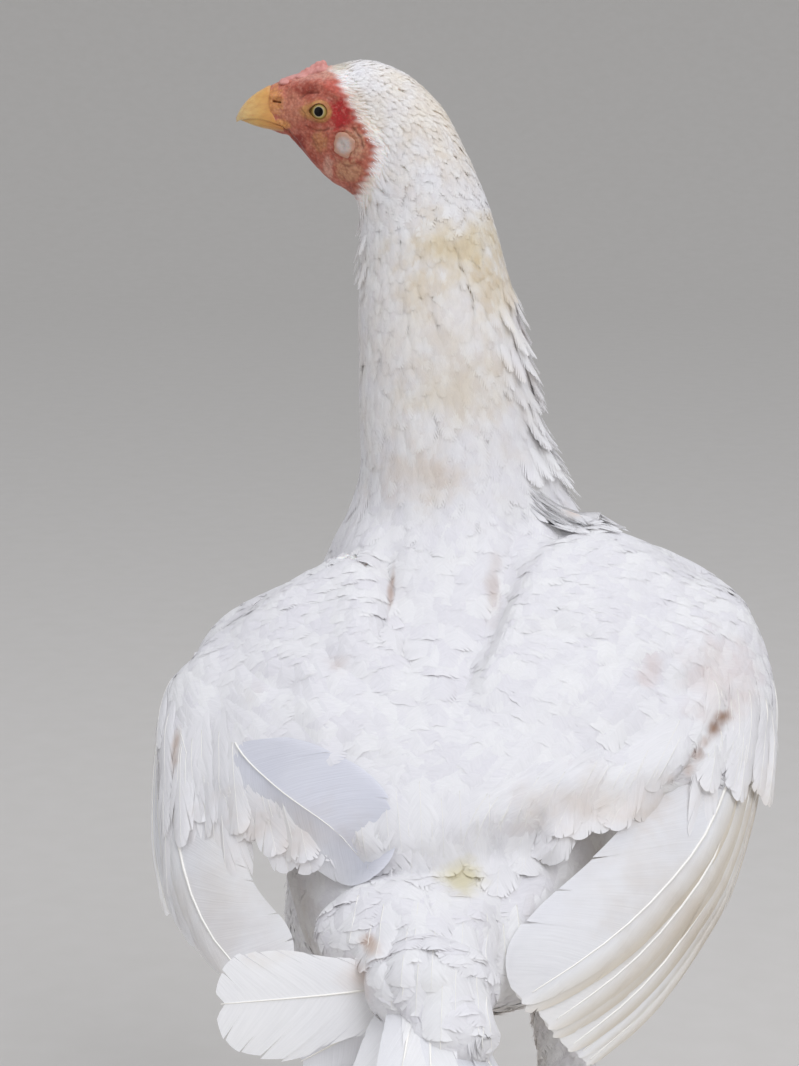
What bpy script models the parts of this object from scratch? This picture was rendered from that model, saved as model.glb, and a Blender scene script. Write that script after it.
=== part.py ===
# A white aseel hen, life size, as a still model: standing square, wings half open and drooped,
# head turned to its left. Metres, +Z up. The body faces -Y, the bird's left is +X.
import math

import bpy
import bmesh
from mathutils import Matrix, Vector

OBJECT = "aseel_hen"
MM = 0.001
GAP = 0.3 * MM  # air that touching pieces keep
UP = Vector((0, 0, 1))
AHEAD = Vector((0, -1, 0))
SIDES = {"left": 1, "right": -1}

# Torso: a straight back that slopes down to the tail, and sections square to it
BACK_SLOPE = math.radians(41)
BACK_ALONG = Vector((0, math.cos(BACK_SLOPE), -math.sin(BACK_SLOPE)))
BACK_OUT = Vector((0, math.sin(BACK_SLOPE), math.cos(BACK_SLOPE)))
TORSO_START = -315 * MM
TORSO_SIDES = 20
TORSO_MIDDLE = 0.46  # share from back to belly where the body is widest
TORSO_FULLNESS = 0.92  # under 1 makes the section fuller than an ellipse
# Distance along the back, height of the back line, height of the belly line, half width
TORSO_SECTIONS = (
    (-34, 232, 176, 26),
    (-25, 248, 156, 44),
    (-8, 260, 138, 58),
    (16, 267, 124, 68),
    (50, 270, 112, 76),
    (95, 270, 108, 80),
    (140, 269, 108, 80),
    (180, 268, 119, 76),
    (213, 267, 142, 67),
    (238, 266, 174, 54),
    (256, 263, 212, 40),
    (268, 256, 234, 22),
)

# Neck and head: the line of the nape and of the throat (x, z), half thickness front to back,
# how far forward the middle is, and how much the throat side is narrower than the nape side
NECK_SIDES = 22
NECK_SECTIONS = (
    ((-50, 300), (52, 300), 34, -90, 0.0),
    ((-71, 338), (73, 338), 48, -86, 0.0),
    ((-66, 361), (69, 360), 51, -84, 0.0),
    ((-54, 382), (58, 381), 49, -84, 0.0),
    ((-44.5, 402), (52.5, 401), 44.5, -86, 0.0),
    ((-36, 424), (52, 423), 41, -88, 0.0),
    ((-31, 450), (52.5, 449), 38.5, -91, 0.0),
    ((-25, 476), (53, 475), 36, -94, 0.0),
    ((-19, 500), (52.5, 499), 33, -97, 0.0),
    ((-9.5, 531), (53, 523), 29.5, -100, 0.0),
    ((1.5, 556.5), (55, 533.5), 26.5, -100, 0.03),
    ((14, 579), (59, 537.5), 24, -100, 0.08),
    ((30.5, 593), (66, 541.5), 22.5, -100, 0.14),
    ((47.5, 599.5), (74, 549), 20.5, -100, 0.2),
    ((62, 598), (80, 556), 18.5, -100, 0.22),
    ((73, 594), (84.5, 561), 16, -100, 0.2),
    ((82, 592), (87, 563.5), 13, -100, 0.12),
    ((89.5, 589.6), (90.5, 564.3), 10.4, -100, 0.05),
    ((95, 587.2), (95, 566.0), 8.5, -100, 0.0),
)
HEAD_Y = -100 * MM
NECK_CUT = (Vector((40 * MM, 0, 545 * MM)), Vector((-0.62, 0, -0.78)))  # head above, neck below
NECK_BASE_CUT = (Vector((0, -86 * MM, 402 * MM)), Vector((0, 0.30, -0.954)))  # neck above, torso below

# Beak: profile points (x, z) in millimetres from the skin to the tip
CULMEN = ((95.3, 587.0), (99.5, 585.1), (103.5, 582.7), (107.2, 579.6), (110.4, 575.6), (112.5, 571.8))
TOMIUM = ((95.3, 570.8), (99.5, 571.8), (103.5, 572.1), (107.2, 571.9), (110.4, 571.3), (112.3, 570.3))
BEAK_WIDTHS = (8.3, 7.5, 6.3, 4.8, 3.0, 0.9)
JAW_TOP = ((95.3, 570.3), (99.5, 571.3), (103.5, 571.6), (107.2, 571.4), (109.6, 571.0))
JAW_BOTTOM = ((95.3, 566.2), (99.5, 567.0), (103.5, 568.1), (107.2, 569.5), (109.6, 570.6))
JAW_WIDTHS = (7.4, 6.6, 5.0, 2.8, 0.9)
NOSTRIL = (91.4, 579.6)
NOSTRIL_RADII = Vector((2.7, 3.0, 0.9)) * MM
MOUTH_AT = (92.0, 568.9)
MOUTH_RADII = Vector((6.0, 14.0, 0.45)) * MM
MOUTH_SLOPE = math.radians(-25)
NOSTRIL_SLOPE = math.radians(-8)
BEAK_ARCH_POINTS = 8

# Eye, lids, brow, ear lobe and comb
EYE_AT = (69.9, 575.6)
EYE_RADIUS = 7.2 * MM
EYE_SHOWS = 2.2 * MM  # how far the ball stands out of the plain head
LID_THICKNESS = 1.3 * MM
EYE_OPENING = Vector((4.9, 4.5, 4.2)) * MM
BROW_RADII = Vector((10.5, 4.6, 3.2)) * MM
BROW_RISE = 7.2 * MM  # over the middle of the eye
BROW_DEPTH = 2.6 * MM  # its middle under the skin
LOBE_AT = (57.9, 560.3)
LOBE_RADII = Vector((6.2, 2.6, 6.2)) * MM
COMB_START, COMB_END = 88.0, 66.0
COMB_ROWS = ((0.0, 6, 2.9), (3.3, 4, 2.4), (-3.3, 4, 2.4))  # offset, knobs, knob radius
COMB_HEIGHT = 2.8 * MM
COMB_PEAK = 81.0  # x of the tallest knobs
COMB_RIDGE_RADII = Vector((13.5, 4.2, 3.2)) * MM
COMB_SLOPE = math.radians(24)
OVER_HEAD = 0.7  # a height from which a line down meets the crown

# The wings lie on a curved cape behind the back: a ridge line that slopes down and steepens,
# rounded off towards the sides
RIDGE_TOP = 395 * MM
RIDGE_START = -45 * MM
RIDGE_SLOPE = 1.54
RIDGE_BEND = 3.04
CAPE_DEPTH = 115 * MM
CAPE_WIDTH = {"left": 143 * MM, "right": 158 * MM}

# The fleshy arm under the coverts: top and bottom edge (x, z) from the spine outwards
ARM_OUTLINE = {
    "left": (
        ((32, 372), (13, 316)),
        ((52, 380), (24, 297)),
        ((76, 370), (48, 285)),
        ((102, 353), (80, 280)),
        ((125, 332), (108, 278)),
        ((138, 306), (134, 284)),
    ),
    "right": (
        ((33, 377), (-3, 318)),
        ((54, 389), (16, 299)),
        ((80, 386), (46, 288)),
        ((110, 370), (80, 289)),
        ((136, 354), (114, 297)),
        ((150, 326), (143, 304)),
    ),
}
ARM_ROWS = (  # share of the way down, height of the outer face, of the inner face
    (0.0, -6.0, -6.0),
    (0.10, 3.0, -15.0),
    (0.32, 6.5, -16.0),
    (0.60, 5.0, -9.0),
    (0.84, 2.6, -3.6),
    (1.0, 0.6, -1.4),
)
ARM_ENDS = (0.45, 0.8, 1.0, 1.0, 0.9, 0.4)  # how full the arm is from the spine to the wrist
UPPER_ARM = {"left": (74, -36, 339), "right": (88, -56, 354)}
UPPER_ARM_RADII = Vector((56, 26, 20)) * MM
UPPER_ARM_SLOPE = math.radians(23)
HAND_SPREAD = {"left": 9 * MM, "right": 0}  # how much wider the hand stands than the arm
HAND_ENDS = (0.6, 1.0, 0.7)

# Feather tiers on each wing: how many, and the first and last feather's root, middle and tip (x, z)
SECONDARIES = {
    "left": (9, ((42, 334), (29, 298), (18, 264)), ((130, 302), (114, 285), (88, 275))),
    "right": (10, ((34, 340), (13, 300), (-1, 266)), ((134, 325), (106, 302), (73, 279))),
}
COVERTS = {
    "left": (8, ((44, 352), (34, 326), (22, 300)), ((130, 312), (120, 298), (102, 286))),
    "right": (8, ((42, 358), (28, 332), (10, 304)), ((138, 336), (122, 320), (100, 303))),
}
# Inner and outer half width, height of the first vane over the cape, step to the next one, and roll
SECONDARY_LAY = ((15.0, 13.5), 1.6, -0.5, 0.085)
COVERT_LAY = ((12.5, 11.5), 6.5, -0.4, 0.075)
PRIMARY_LAY = (-6.2, -0.6, 0.07)  # the same without the widths
PRIMARIES = {
    "left": {  # first and last root, each tip, sideways bow, first and last half widths
        "roots": ((122, 306), (143, 286)),
        "tips": (
            (70, 220), (77, 214), (84, 209), (91, 206), (99, 205),
            (107, 207), (114, 211), (121, 216), (128, 222),
        ),
        "bow": 14.0,
        "widths": ((9.0, 6.0), (7.0, 3.5)),
    },
    "right": {
        "roots": ((126, 322), (150, 300)),
        "tips": (
            (38, 223), (38, 214), (40, 206), (44, 199), (49, 195),
            (56, 195), (65, 200), (76, 208), (89, 219),
        ),
        "bow": 11.0,
        "widths": ((14.0, 7.0), (9.5, 4.5)),
    },
}
PRIMARY_SAG = 0.35  # how far the middle drops, by the bow
VANE_STATIONS = (0.0, 0.3, 0.65, 0.9, 1.0)
VANE_SHAPE = (0.5, 0.95, 1.0, 0.72, 0.2)
VANE_THICKNESS = 0.55 * MM
SHAFT_RISE = 0.35 * MM

# The hand, which carries the primaries, on the outer edge of the wing
HAND_OUTLINE = {
    "left": (((141, 300), (139, 274)), ((131, 304), (126, 279)), ((119, 308), (113, 290))),
    "right": (((152, 322), (150, 291)), ((142, 322), (138, 296)), ((128, 326), (122, 305))),
}
HAND_ROWS = ((0.0, -9.0, -9.0), (0.25, -5.6, -14.5), (0.6, -4.6, -14.0), (1.0, -7.0, -11.5))

# Tail: a drooping fan, wide on the left, where the outermost quill is held out level over the wing
TAIL_ROOT = Vector((7, 120, 244)) * MM
TAIL_BASE_RADII = Vector((38, 29, 20)) * MM
TAIL_BASE_SLOPE = -0.35
TAIL_BASE_DROP = 6 * MM
TAIL_VANE_START = 0.06  # share of a vane's length at which it leaves the root
TAIL_CUP = 1.2 * MM
TAIL_SAG = 4
TAIL_COVERT_SAG = 6
TAIL_COVERT_RISE = 13
TAIL_COVERT_FALL = 0.14  # how much lower the outer coverts are rooted, for each degree of turn
TAIL_COVERT_ROLL = 0.7  # roll for each degree of turn
TAIL_FEATHERS = (  # turn to the bird's left, droop, roll, length, half width, height of the root
    (-31, 26, -40, 92, 13, -8),
    (-22, 25, -28, 100, 14, -5),
    (-13, 23, -15, 106, 13, -2),
    (-5, 20, -5, 110, 11, 1),
    (4, 21, 6, 113, 11, 2),
    (15, 29, 18, 108, 15, -4),
    (29, 36, 31, 105, 17, -9),
    (45, 41, 46, 101, 18, -15),
    (60, 0, 62, 98, 21, -15),
)
TAIL_COVERTS = (  # turn, droop, length, half width
    (-42, 24, 56, 16),
    (-18, 27, 64, 17),
    (6, 30, 68, 17),
    (29, 30, 66, 17),
    (54, 24, 58, 16),
)

# Legs
HOCK = Vector((51, 24, 122)) * MM
ANKLE = Vector((48, -14, 17)) * MM
THIGH_SECTIONS = (  # x, y, z, half width, half depth
    (48, -36, 256, 26, 44),
    (52, -32, 230, 29, 49),
    (56, -18, 200, 28, 42),
    (56, 0, 168, 22, 29),
    (53, 15, 144, 14.5, 18),
    (51.5, 21, 132, 11, 13),
)
SHANK_SECTIONS = (  # share from hock to ankle, half width, half depth
    (-0.10, 6.5, 7.5),
    (-0.04, 9.6, 10.6),
    (0.05, 10.2, 11.4),
    (0.14, 8.2, 9.6),
    (0.30, 6.6, 8.4),
    (0.60, 6.4, 8.0),
    (0.86, 7.4, 8.6),
    (0.97, 9.4, 9.4),
    (1.07, 8.6, 8.4),
)
SHANK_SCUTES = 8
SCUTE_START, SCUTE_SPAN = 0.12, 0.84  # shares of the shank
SCUTE_RADIUS = 7.2
SCUTE_WAIST = 0.8  # how much nearer the plates lie at the thin middle
SCUTE_TURN = math.radians(26)
SCUTE_TILT = 0.13
SCUTE_RADII = (3.5 * MM, 0.62, 1.5 * MM)  # half width, share of the pitch, half thickness
TOES = (  # name, heading from straight ahead towards the outside, length, root radius
    ("inner", -31, 47, 5.6),
    ("middle", 4, 64, 6.0),
    ("outer", 39, 50, 5.6),
    ("hind", 166, 22, 4.8),
)
TOE_SIDES = 8
TOE_TAPER = 0.36
TOE_RISE = 0.86  # height of a toe's middle over the floor, by its radius
TOE_ROOT_RISE = 4.0 * MM
PAD_SWELL, PAD_WAIST = 1.04, 0.88
LONG_TOE = 30  # toes over this length have three joints
TOE_SCUTE_START, TOE_SCUTE_SPAN = 0.28, 0.64
TOE_SCUTE_RADII = (0.72, 0.066, 1.3 * MM)  # share of the toe's radius, of its length, half thickness
TOE_SCUTE_DEPTH = 0.9 * MM
SOLE_RADII = Vector((10.5, 11, 8.6)) * MM
SOLE_RISE = 6.0 * MM
CLAW_LENGTH = 15 * MM
CLAW_SECTIONS = ((0.0, 1.0), (0.35, 0.84), (0.72, 0.5), (1.0, 0.1))  # share of the length, thickness
CLAW_OVERLAP = 1.2
CLAW_ARCH, CLAW_HOOK = 1.0, 2.2
SHARP_ANGLE = math.radians(38)

COLOURS = {
    "plumage": ((0.86, 0.84, 0.80), 0.8),
    "skin": ((0.62, 0.16, 0.12), 0.5),
    "lobe": ((0.82, 0.76, 0.72), 0.45),
    "beak": ((0.80, 0.62, 0.26), 0.35),
    "eye": ((0.55, 0.32, 0.08), 0.05),
    "scale": ((0.78, 0.66, 0.38), 0.5),
    "claw": ((0.72, 0.64, 0.48), 0.35),
}


def material(name):
    made = bpy.data.materials.get(name)
    if made is None:
        made = bpy.data.materials.new(name)
        made.use_nodes = True
        shader = made.node_tree.nodes["Principled BSDF"]
        colour, roughness = COLOURS[name]
        shader.inputs["Base Color"].default_value = (*colour, 1)
        shader.inputs["Roughness"].default_value = roughness
        shader.inputs["Metallic"].default_value = 0.0
    return made


def collection(name):
    made = bpy.data.collections.get(name)
    if made is None:
        made = bpy.data.collections.new(name)
        bpy.context.scene.collection.children.link(made)
    return made


def new_object(name, mesh, look=None):
    """Parts have a look and go in the bird's own collection, cutters and other tools in another."""
    made = bpy.data.objects.new(name, mesh)
    collection(OBJECT if look else OBJECT + "_cutters").objects.link(made)
    if look:
        made.data.materials.append(material(look))
    return made


def mesh_from(bm, name):
    bmesh.ops.recalc_face_normals(bm, faces=bm.faces)
    mesh = bpy.data.meshes.new(name)
    bm.to_mesh(mesh)
    bm.free()
    return mesh


def loft(rings, name, look=None):
    """One closed body through rings of equal count, each end closed by a fan."""
    bm = bmesh.new()
    rows = [[bm.verts.new(point) for point in ring] for ring in rings]
    count = len(rows[0])
    for near, far in zip(rows, rows[1:]):
        for i in range(count):
            j = (i + 1) % count
            bm.faces.new((near[i], near[j], far[j], far[i]))
    for row in (rows[0], rows[-1]):
        middle = bm.verts.new(sum((v.co for v in row), Vector()) / count)
        for i in range(count):
            bm.faces.new((row[i], row[(i + 1) % count], middle))
    bmesh.ops.triangulate(bm, faces=bm.faces)
    return new_object(name, mesh_from(bm, name), look)


def ring(centre, first, second, count, narrow=0.0):
    """An ellipse through centre + first, with second as its other half axis, narrower away from first."""
    points = []
    for i in range(count):
        angle = 2 * math.pi * i / count
        width = math.sin(angle) * (1 - narrow * (1 - math.cos(angle)) / 2)
        points.append(centre + first * math.cos(angle) + second * width)
    return points


def blended(first, last, share):
    """Between two numbers, or two tuples of them."""
    if isinstance(first, (int, float)):
        return first + (last - first) * share
    return tuple(blended(a, b, share) for a, b in zip(first, last))


def ball(name, centre, radii, turn=None, segments=16, rings=10, look=None):
    bm = bmesh.new()
    bmesh.ops.create_uvsphere(bm, u_segments=segments, v_segments=rings, radius=1.0)
    place = Matrix.Translation(centre) @ (turn or Matrix.Identity(4)) @ Matrix.Diagonal((*radii, 1))
    bmesh.ops.transform(bm, matrix=place, verts=bm.verts)
    return new_object(name, mesh_from(bm, name), look)


def keep_evaluated(obj):
    graph = bpy.context.evaluated_depsgraph_get()
    mesh = bpy.data.meshes.new_from_object(obj.evaluated_get(graph))
    obj.modifiers.clear()
    old = obj.data
    obj.data = mesh
    bpy.data.meshes.remove(old)


def remove(obj):
    bpy.data.objects.remove(obj)


def boolean(obj, others, operation, solver="EXACT"):
    """Joins others to obj or cuts them from it, and removes them. MANIFOLD is quicker on many thin vanes."""
    tools = collection(OBJECT + "_" + operation.lower())
    for other in others:
        tools.objects.link(other)
    modifier = obj.modifiers.new("boolean", "BOOLEAN")
    modifier.operation = operation
    modifier.solver = solver
    modifier.operand_type = "COLLECTION"
    modifier.collection = tools
    keep_evaluated(obj)
    for other in list(others):
        remove(other)
    bpy.data.collections.remove(tools)


def keep_largest(obj):
    """Drops every closed surface but the one with the most faces."""
    bm = bmesh.new()
    bm.from_mesh(obj.data)
    groups, seen = [], set()
    for start in bm.verts:
        if start in seen:
            continue
        group, queue = [], [start]
        seen.add(start)
        while queue:
            vert = queue.pop()
            group.append(vert)
            for edge in vert.link_edges:
                other = edge.other_vert(vert)
                if other not in seen:
                    seen.add(other)
                    queue.append(other)
        groups.append(group)
    groups.sort(key=len)
    bmesh.ops.delete(bm, geom=[v for group in groups[:-1] for v in group], context="VERTS")
    bm.to_mesh(obj.data)
    bm.free()


def swollen(obj, by=GAP):
    """A copy of obj whose faces stand out by the gap, as a cutter."""
    bm = bmesh.new()
    bm.from_mesh(obj.data)
    bm.normal_update()
    moves = [vert.normal * by * vert.calc_shell_factor() for vert in bm.verts]
    for vert, move in zip(bm.verts, moves):
        vert.co += move
    mesh = bpy.data.meshes.new(obj.name + "_swollen")
    bm.to_mesh(mesh)
    bm.free()
    return new_object(obj.name + "_swollen", mesh)


def cut_clear(obj, *others):
    for other in others:
        boolean(obj, [swollen(other)], "DIFFERENCE")
    keep_largest(obj)


def sliced(obj, point, normal, name, look):
    """The part of obj that lies ahead of the plane, half a gap from it, with a flat cut face."""
    bm = bmesh.new()
    bm.from_mesh(obj.data)
    normal = normal.normalized()
    bmesh.ops.bisect_plane(
        bm,
        geom=bm.verts[:] + bm.edges[:] + bm.faces[:],
        plane_co=point + normal * GAP / 2,
        plane_no=normal,
        clear_inner=True,
    )
    rim = [edge for edge in bm.edges if edge.is_boundary]
    bmesh.ops.contextual_create(bm, geom=rim)
    bmesh.ops.triangulate(bm, faces=[face for face in bm.faces if len(face.verts) > 3])
    return new_object(name, mesh_from(bm, name), look)


# Torso, neck and head

def torso_point(along, height):
    return BACK_ALONG * (TORSO_START + along * MM) + BACK_OUT * height * MM


def torso_form():
    rings = []
    for along, back, belly, half_width in TORSO_SECTIONS:
        top, bottom = torso_point(along, back), torso_point(along, belly)
        middle = top.lerp(bottom, TORSO_MIDDLE)
        points = []
        for i in range(TORSO_SIDES):
            angle = 2 * math.pi * i / TORSO_SIDES
            reach = top - middle if math.cos(angle) > 0 else middle - bottom
            across = math.copysign(abs(math.sin(angle)) ** TORSO_FULLNESS, math.sin(angle))
            points.append(middle + reach * math.cos(angle) + Vector((half_width * MM * across, 0, 0)))
        rings.append(points)
    return loft(rings, "torso_form")


def neck_form():
    rings = []
    for nape, throat, half_depth, forward, narrow in NECK_SECTIONS:
        back = Vector((nape[0], forward, nape[1])) * MM
        front = Vector((throat[0], forward, throat[1])) * MM
        centre = back.lerp(front, 0.5)
        rings.append(ring(centre, (back - front) / 2, Vector((0, half_depth * MM, 0)), NECK_SIDES, narrow))
    return loft(rings, "neck_form")


def skin_at(obj, x, z, side):
    """Where a line from the outside meets the head, at x, z, on one side."""
    start = Vector((x * MM, HEAD_Y + side * 0.1, z * MM))
    _, point, normal, _ = obj.ray_cast(start, Vector((0, -side, 0)))
    return point, normal


def turned_to(normal):
    return normal.to_track_quat("Y", "Z").to_matrix().to_4x4()


def build_head(form):
    """The head with brows, lids round two sockets, and nostrils. Returns it and its eyes."""
    head = sliced(form, NECK_CUT[0], -NECK_CUT[1], "head", "skin")
    eyes, cutters, extras = [], [], []
    for name, side in SIDES.items():
        point, normal = skin_at(head, *EYE_AT, side)
        centre = point - normal * (EYE_RADIUS - EYE_SHOWS)
        facing = turned_to(normal)
        eyes.append(ball("eye_" + name, centre, [EYE_RADIUS] * 3, facing, 14, 8, "eye"))
        extras.append(ball("lids", centre, [EYE_RADIUS + LID_THICKNESS] * 3, facing, 14, 10))
        over = point + UP * BROW_RISE - normal * BROW_DEPTH
        extras.append(ball("brow", over, BROW_RADII, facing, 12, 6))
        cutters.append(ball("socket", centre, [EYE_RADIUS + GAP] * 3, facing, 14, 8))
        cutters.append(ball("opening", centre + normal * EYE_RADIUS, EYE_OPENING, facing, 14, 6))
        hole, _ = skin_at(head, *NOSTRIL, side)
        slope = Matrix.Rotation(NOSTRIL_SLOPE, 4, "Y")
        cutters.append(ball("nostril", hole, NOSTRIL_RADII, slope, 8, 4))
    mouth = Matrix.Rotation(MOUTH_SLOPE, 4, "Y")
    corner = Vector((MOUTH_AT[0] * MM, HEAD_Y, MOUTH_AT[1] * MM))
    cutters.append(ball("mouth", corner, MOUTH_RADII, mouth, 16, 4))
    boolean(head, extras, "UNION")
    boolean(head, cutters, "DIFFERENCE")
    keep_largest(head)
    return head, eyes


def build_comb(head):
    """Three rows of small knobs on a low ridge, from the beak to over the eye."""
    knobs = []
    top = (COMB_START + COMB_END) / 2
    for offset, count, radius in COMB_ROWS:
        for i in range(count):
            share = i / (count - 1)
            x = COMB_START + (COMB_END - COMB_START) * share
            start = Vector((x * MM, HEAD_Y + offset * MM, OVER_HEAD))
            _, point, normal, _ = head.ray_cast(start, -UP)
            swell = 1 - 1.1 * abs(x - COMB_PEAK) / (COMB_START - COMB_END)
            lean = normal * (COMB_HEIGHT * swell * (1 if offset == 0 else 0.4))
            size = radius * MM * (0.75 + 0.35 * math.sin(math.pi * share))
            knobs.append(ball("knob", point + lean, (size * 1.15, size, size * 1.25), None, 6, 4))
    middle = Vector((top * MM, HEAD_Y, OVER_HEAD))
    _, point, normal, _ = head.ray_cast(middle, -UP)
    tilt = turned_to(-AHEAD) @ Matrix.Rotation(COMB_SLOPE, 4, "Y")
    comb = ball("comb", point, COMB_RIDGE_RADII, tilt, 14, 8, "skin")
    boolean(comb, knobs, "UNION")
    cut_clear(comb, head)
    return comb


def build_lobe(name, side, head):
    point, normal = skin_at(head, *LOBE_AT, side)
    lobe = ball("earlobe_" + name, point + normal * GAP, LOBE_RADII, turned_to(normal), 12, 6, "lobe")
    cut_clear(lobe, head)
    return lobe


def beak_ring(top, bottom, half_width, arch):
    """A section with a flat side and an arched side. arch is 1 for the upper beak and -1 for the jaw."""
    base, crown = (bottom, top) if arch > 0 else (top, bottom)
    centre = Vector((base[0], 0, base[1])) * MM
    rise = Vector((crown[0] - base[0], 0, crown[1] - base[1])) * MM
    points = []
    for i in range(BEAK_ARCH_POINTS + 1):
        angle = math.pi * i / BEAK_ARCH_POINTS
        across = math.copysign(abs(math.cos(angle)) ** 0.8, math.cos(angle))
        height = math.sin(angle) ** 0.9
        points.append(centre + rise * height + Vector((0, HEAD_Y + half_width * MM * across, 0)))
    points.append(centre + Vector((0, HEAD_Y, 0)))
    return points


def build_beak():
    upper = [beak_ring(t, b, w, 1) for t, b, w in zip(CULMEN, TOMIUM, BEAK_WIDTHS)]
    lower = [beak_ring(t, b, w, -1) for t, b, w in zip(JAW_TOP, JAW_BOTTOM, JAW_WIDTHS)]
    return loft(upper, "beak_upper", "beak"), loft(lower, "beak_lower", "beak")


# Wings

class Cape:
    """The curved surface that a wing lies on. Places are x outwards and z up, seen from behind."""

    def __init__(self, name, spread=0):
        self.side = SIDES[name]
        self.width = CAPE_WIDTH[name] + spread

    def turn(self, x):
        return math.asin(min(0.999, x * MM / self.width))

    def ridge(self, z):
        drop = RIDGE_TOP - z
        return RIDGE_START + RIDGE_SLOPE * drop - RIDGE_BEND * drop * drop

    def frame(self, turn, z):
        """Point, the two directions along the surface, and the normal away from the bird."""
        drop = RIDGE_TOP - z
        point = Vector((
            self.side * self.width * math.sin(turn),
            self.ridge(z) - CAPE_DEPTH * (1 - math.cos(turn)),
            z,
        ))
        across = Vector((self.side * self.width * math.cos(turn), -CAPE_DEPTH * math.sin(turn), 0))
        down = Vector((0, -RIDGE_SLOPE + 2 * RIDGE_BEND * drop, 1))
        return point, across, down, across.cross(down).normalized() * -self.side

    def at(self, turn, z, lift=0.0):
        point, _, _, normal = self.frame(turn, z)
        return point + normal * lift

    def moved(self, turn, z, step):
        """The place reached by a small step in space along the surface."""
        _, across, down, _ = self.frame(turn, z)
        aa, ad, dd = across.dot(across), across.dot(down), down.dot(down)
        sa, sd = step.dot(across), step.dot(down)
        size = aa * dd - ad * ad
        return turn + (sa * dd - sd * ad) / size, z + (sd * aa - sa * ad) / size


def slab(rows, normals, name):
    """A thin closed vane through rows of edge, shaft, edge. Both faces are split into triangles alike."""
    bm = bmesh.new()
    tops, bottoms = [], []
    for row, normal in zip(rows, normals):
        half = normal * VANE_THICKNESS / 2
        rise = (0.0, SHAFT_RISE, 0.0)
        tops.append([bm.verts.new(p + half + normal * r) for p, r in zip(row, rise)])
        bottoms.append([bm.verts.new(p - half) for p in row])
    for i in range(len(rows) - 1):
        for j in range(2):
            for face, flip in ((tops, False), (bottoms, True)):
                a, b, c, d = face[i][j], face[i][j + 1], face[i + 1][j + 1], face[i + 1][j]
                for tri in ((a, b, c), (a, c, d)):
                    bm.faces.new(tri[::-1] if flip else tri)
        for j in (0, 2):
            bm.faces.new((tops[i][j], tops[i + 1][j], bottoms[i + 1][j], bottoms[i][j]))
    for i in (0, -1):
        for j in range(2):
            bm.faces.new((tops[i][j], tops[i][j + 1], bottoms[i][j + 1], bottoms[i][j]))
    bmesh.ops.triangulate(bm, faces=[face for face in bm.faces if len(face.verts) > 3])
    return new_object(name, mesh_from(bm, name))


def bezier(points, share):
    a, b, c = points
    return tuple(
        (1 - share) ** 2 * p + 2 * share * (1 - share) * q + share ** 2 * r for p, q, r in zip(a, b, c)
    )


def cape_vane(cape, path, widths, lift, roll):
    """A vane that follows the cape, with an inner and an outer half width. roll lifts its outer edge."""
    places = [(cape.turn(x), z * MM) for x, z in (bezier(path, s) for s in VANE_STATIONS)]
    shafts = [cape.at(*place) for place in places]
    rows, normals = [], []
    for i, (place, shape) in enumerate(zip(places, VANE_SHAPE)):
        along = (shafts[min(i + 1, len(shafts) - 1)] - shafts[max(i - 1, 0)]).normalized()
        normal = cape.frame(*place)[3]
        outwards = along.cross(normal).normalized() * cape.side
        row = []
        for reach in (-widths[0] * shape, 0.0, widths[1] * shape):
            spot = cape.moved(*place, outwards * reach * MM)
            row.append(cape.at(*spot, (lift + roll * reach) * MM))
        rows.append(row)
        normals.append(normal)
    return slab(rows, normals, "vane")


def arm_pad(cape, outline, rows, ends, name):
    """The flesh under the coverts: a flat cushion on the cape, thin at its lower edge."""
    rings = []
    around = rows + tuple((share, inner, outer) for share, outer, inner in reversed(rows[1:-1]))
    for (top, bottom), full in zip(outline, ends):
        points = []
        for share, outer, inner in around:
            x, z = blended(top, bottom, share)
            middle = (outer + inner) / 2
            lift = middle + (outer - middle) * full
            points.append(cape.at(cape.turn(x), z * MM, lift * MM))
        rings.append(points)
    return loft(rings, name, "plumage")


def tier(cape, feathers, lay):
    """A row of overlapping vanes, each under the next one towards the back."""
    count, first, last = feathers
    widths, lift, step, roll = lay
    for i in range(count):
        path = blended(first, last, i / (count - 1))
        yield cape_vane(cape, path, widths, lift + step * i, roll)


def build_arm(name, blockers):
    cape = Cape(name)
    arm = arm_pad(cape, ARM_OUTLINE[name], ARM_ROWS, ARM_ENDS, "wing_" + name)
    x, y, z = UPPER_ARM[name]
    slope = Matrix.Rotation(UPPER_ARM_SLOPE * cape.side, 4, "Y")
    muscle = ball("muscle", Vector((cape.side * x, y, z)) * MM, UPPER_ARM_RADII, slope, 12, 6)
    secondaries = tier(cape, SECONDARIES[name], SECONDARY_LAY)
    coverts = tier(cape, COVERTS[name], COVERT_LAY)
    boolean(arm, [muscle, *secondaries, *coverts], "UNION", "MANIFOLD")
    keep_largest(arm)
    cut_clear(arm, *blockers)
    return arm


def build_hand(name, blockers):
    cape = Cape(name, HAND_SPREAD[name])
    hand = arm_pad(cape, HAND_OUTLINE[name], HAND_ROWS, HAND_ENDS, "primaries_" + name)
    feathers = PRIMARIES[name]
    bow, tips = feathers["bow"], feathers["tips"]
    lift, step, roll = PRIMARY_LAY
    vanes = []
    for i, tip in enumerate(tips):
        share = i / (len(tips) - 1)
        root = blended(*feathers["roots"], share)
        middle = ((root[0] + tip[0]) / 2 + bow, (root[1] + tip[1]) / 2 - bow * PRIMARY_SAG)
        widths = blended(*feathers["widths"], share)
        vanes.append(cape_vane(cape, (root, middle, tip), widths, lift + step * i, roll))
    boolean(hand, vanes, "UNION", "MANIFOLD")
    keep_largest(hand)
    cut_clear(hand, *blockers)
    return hand


# Tail

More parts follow.
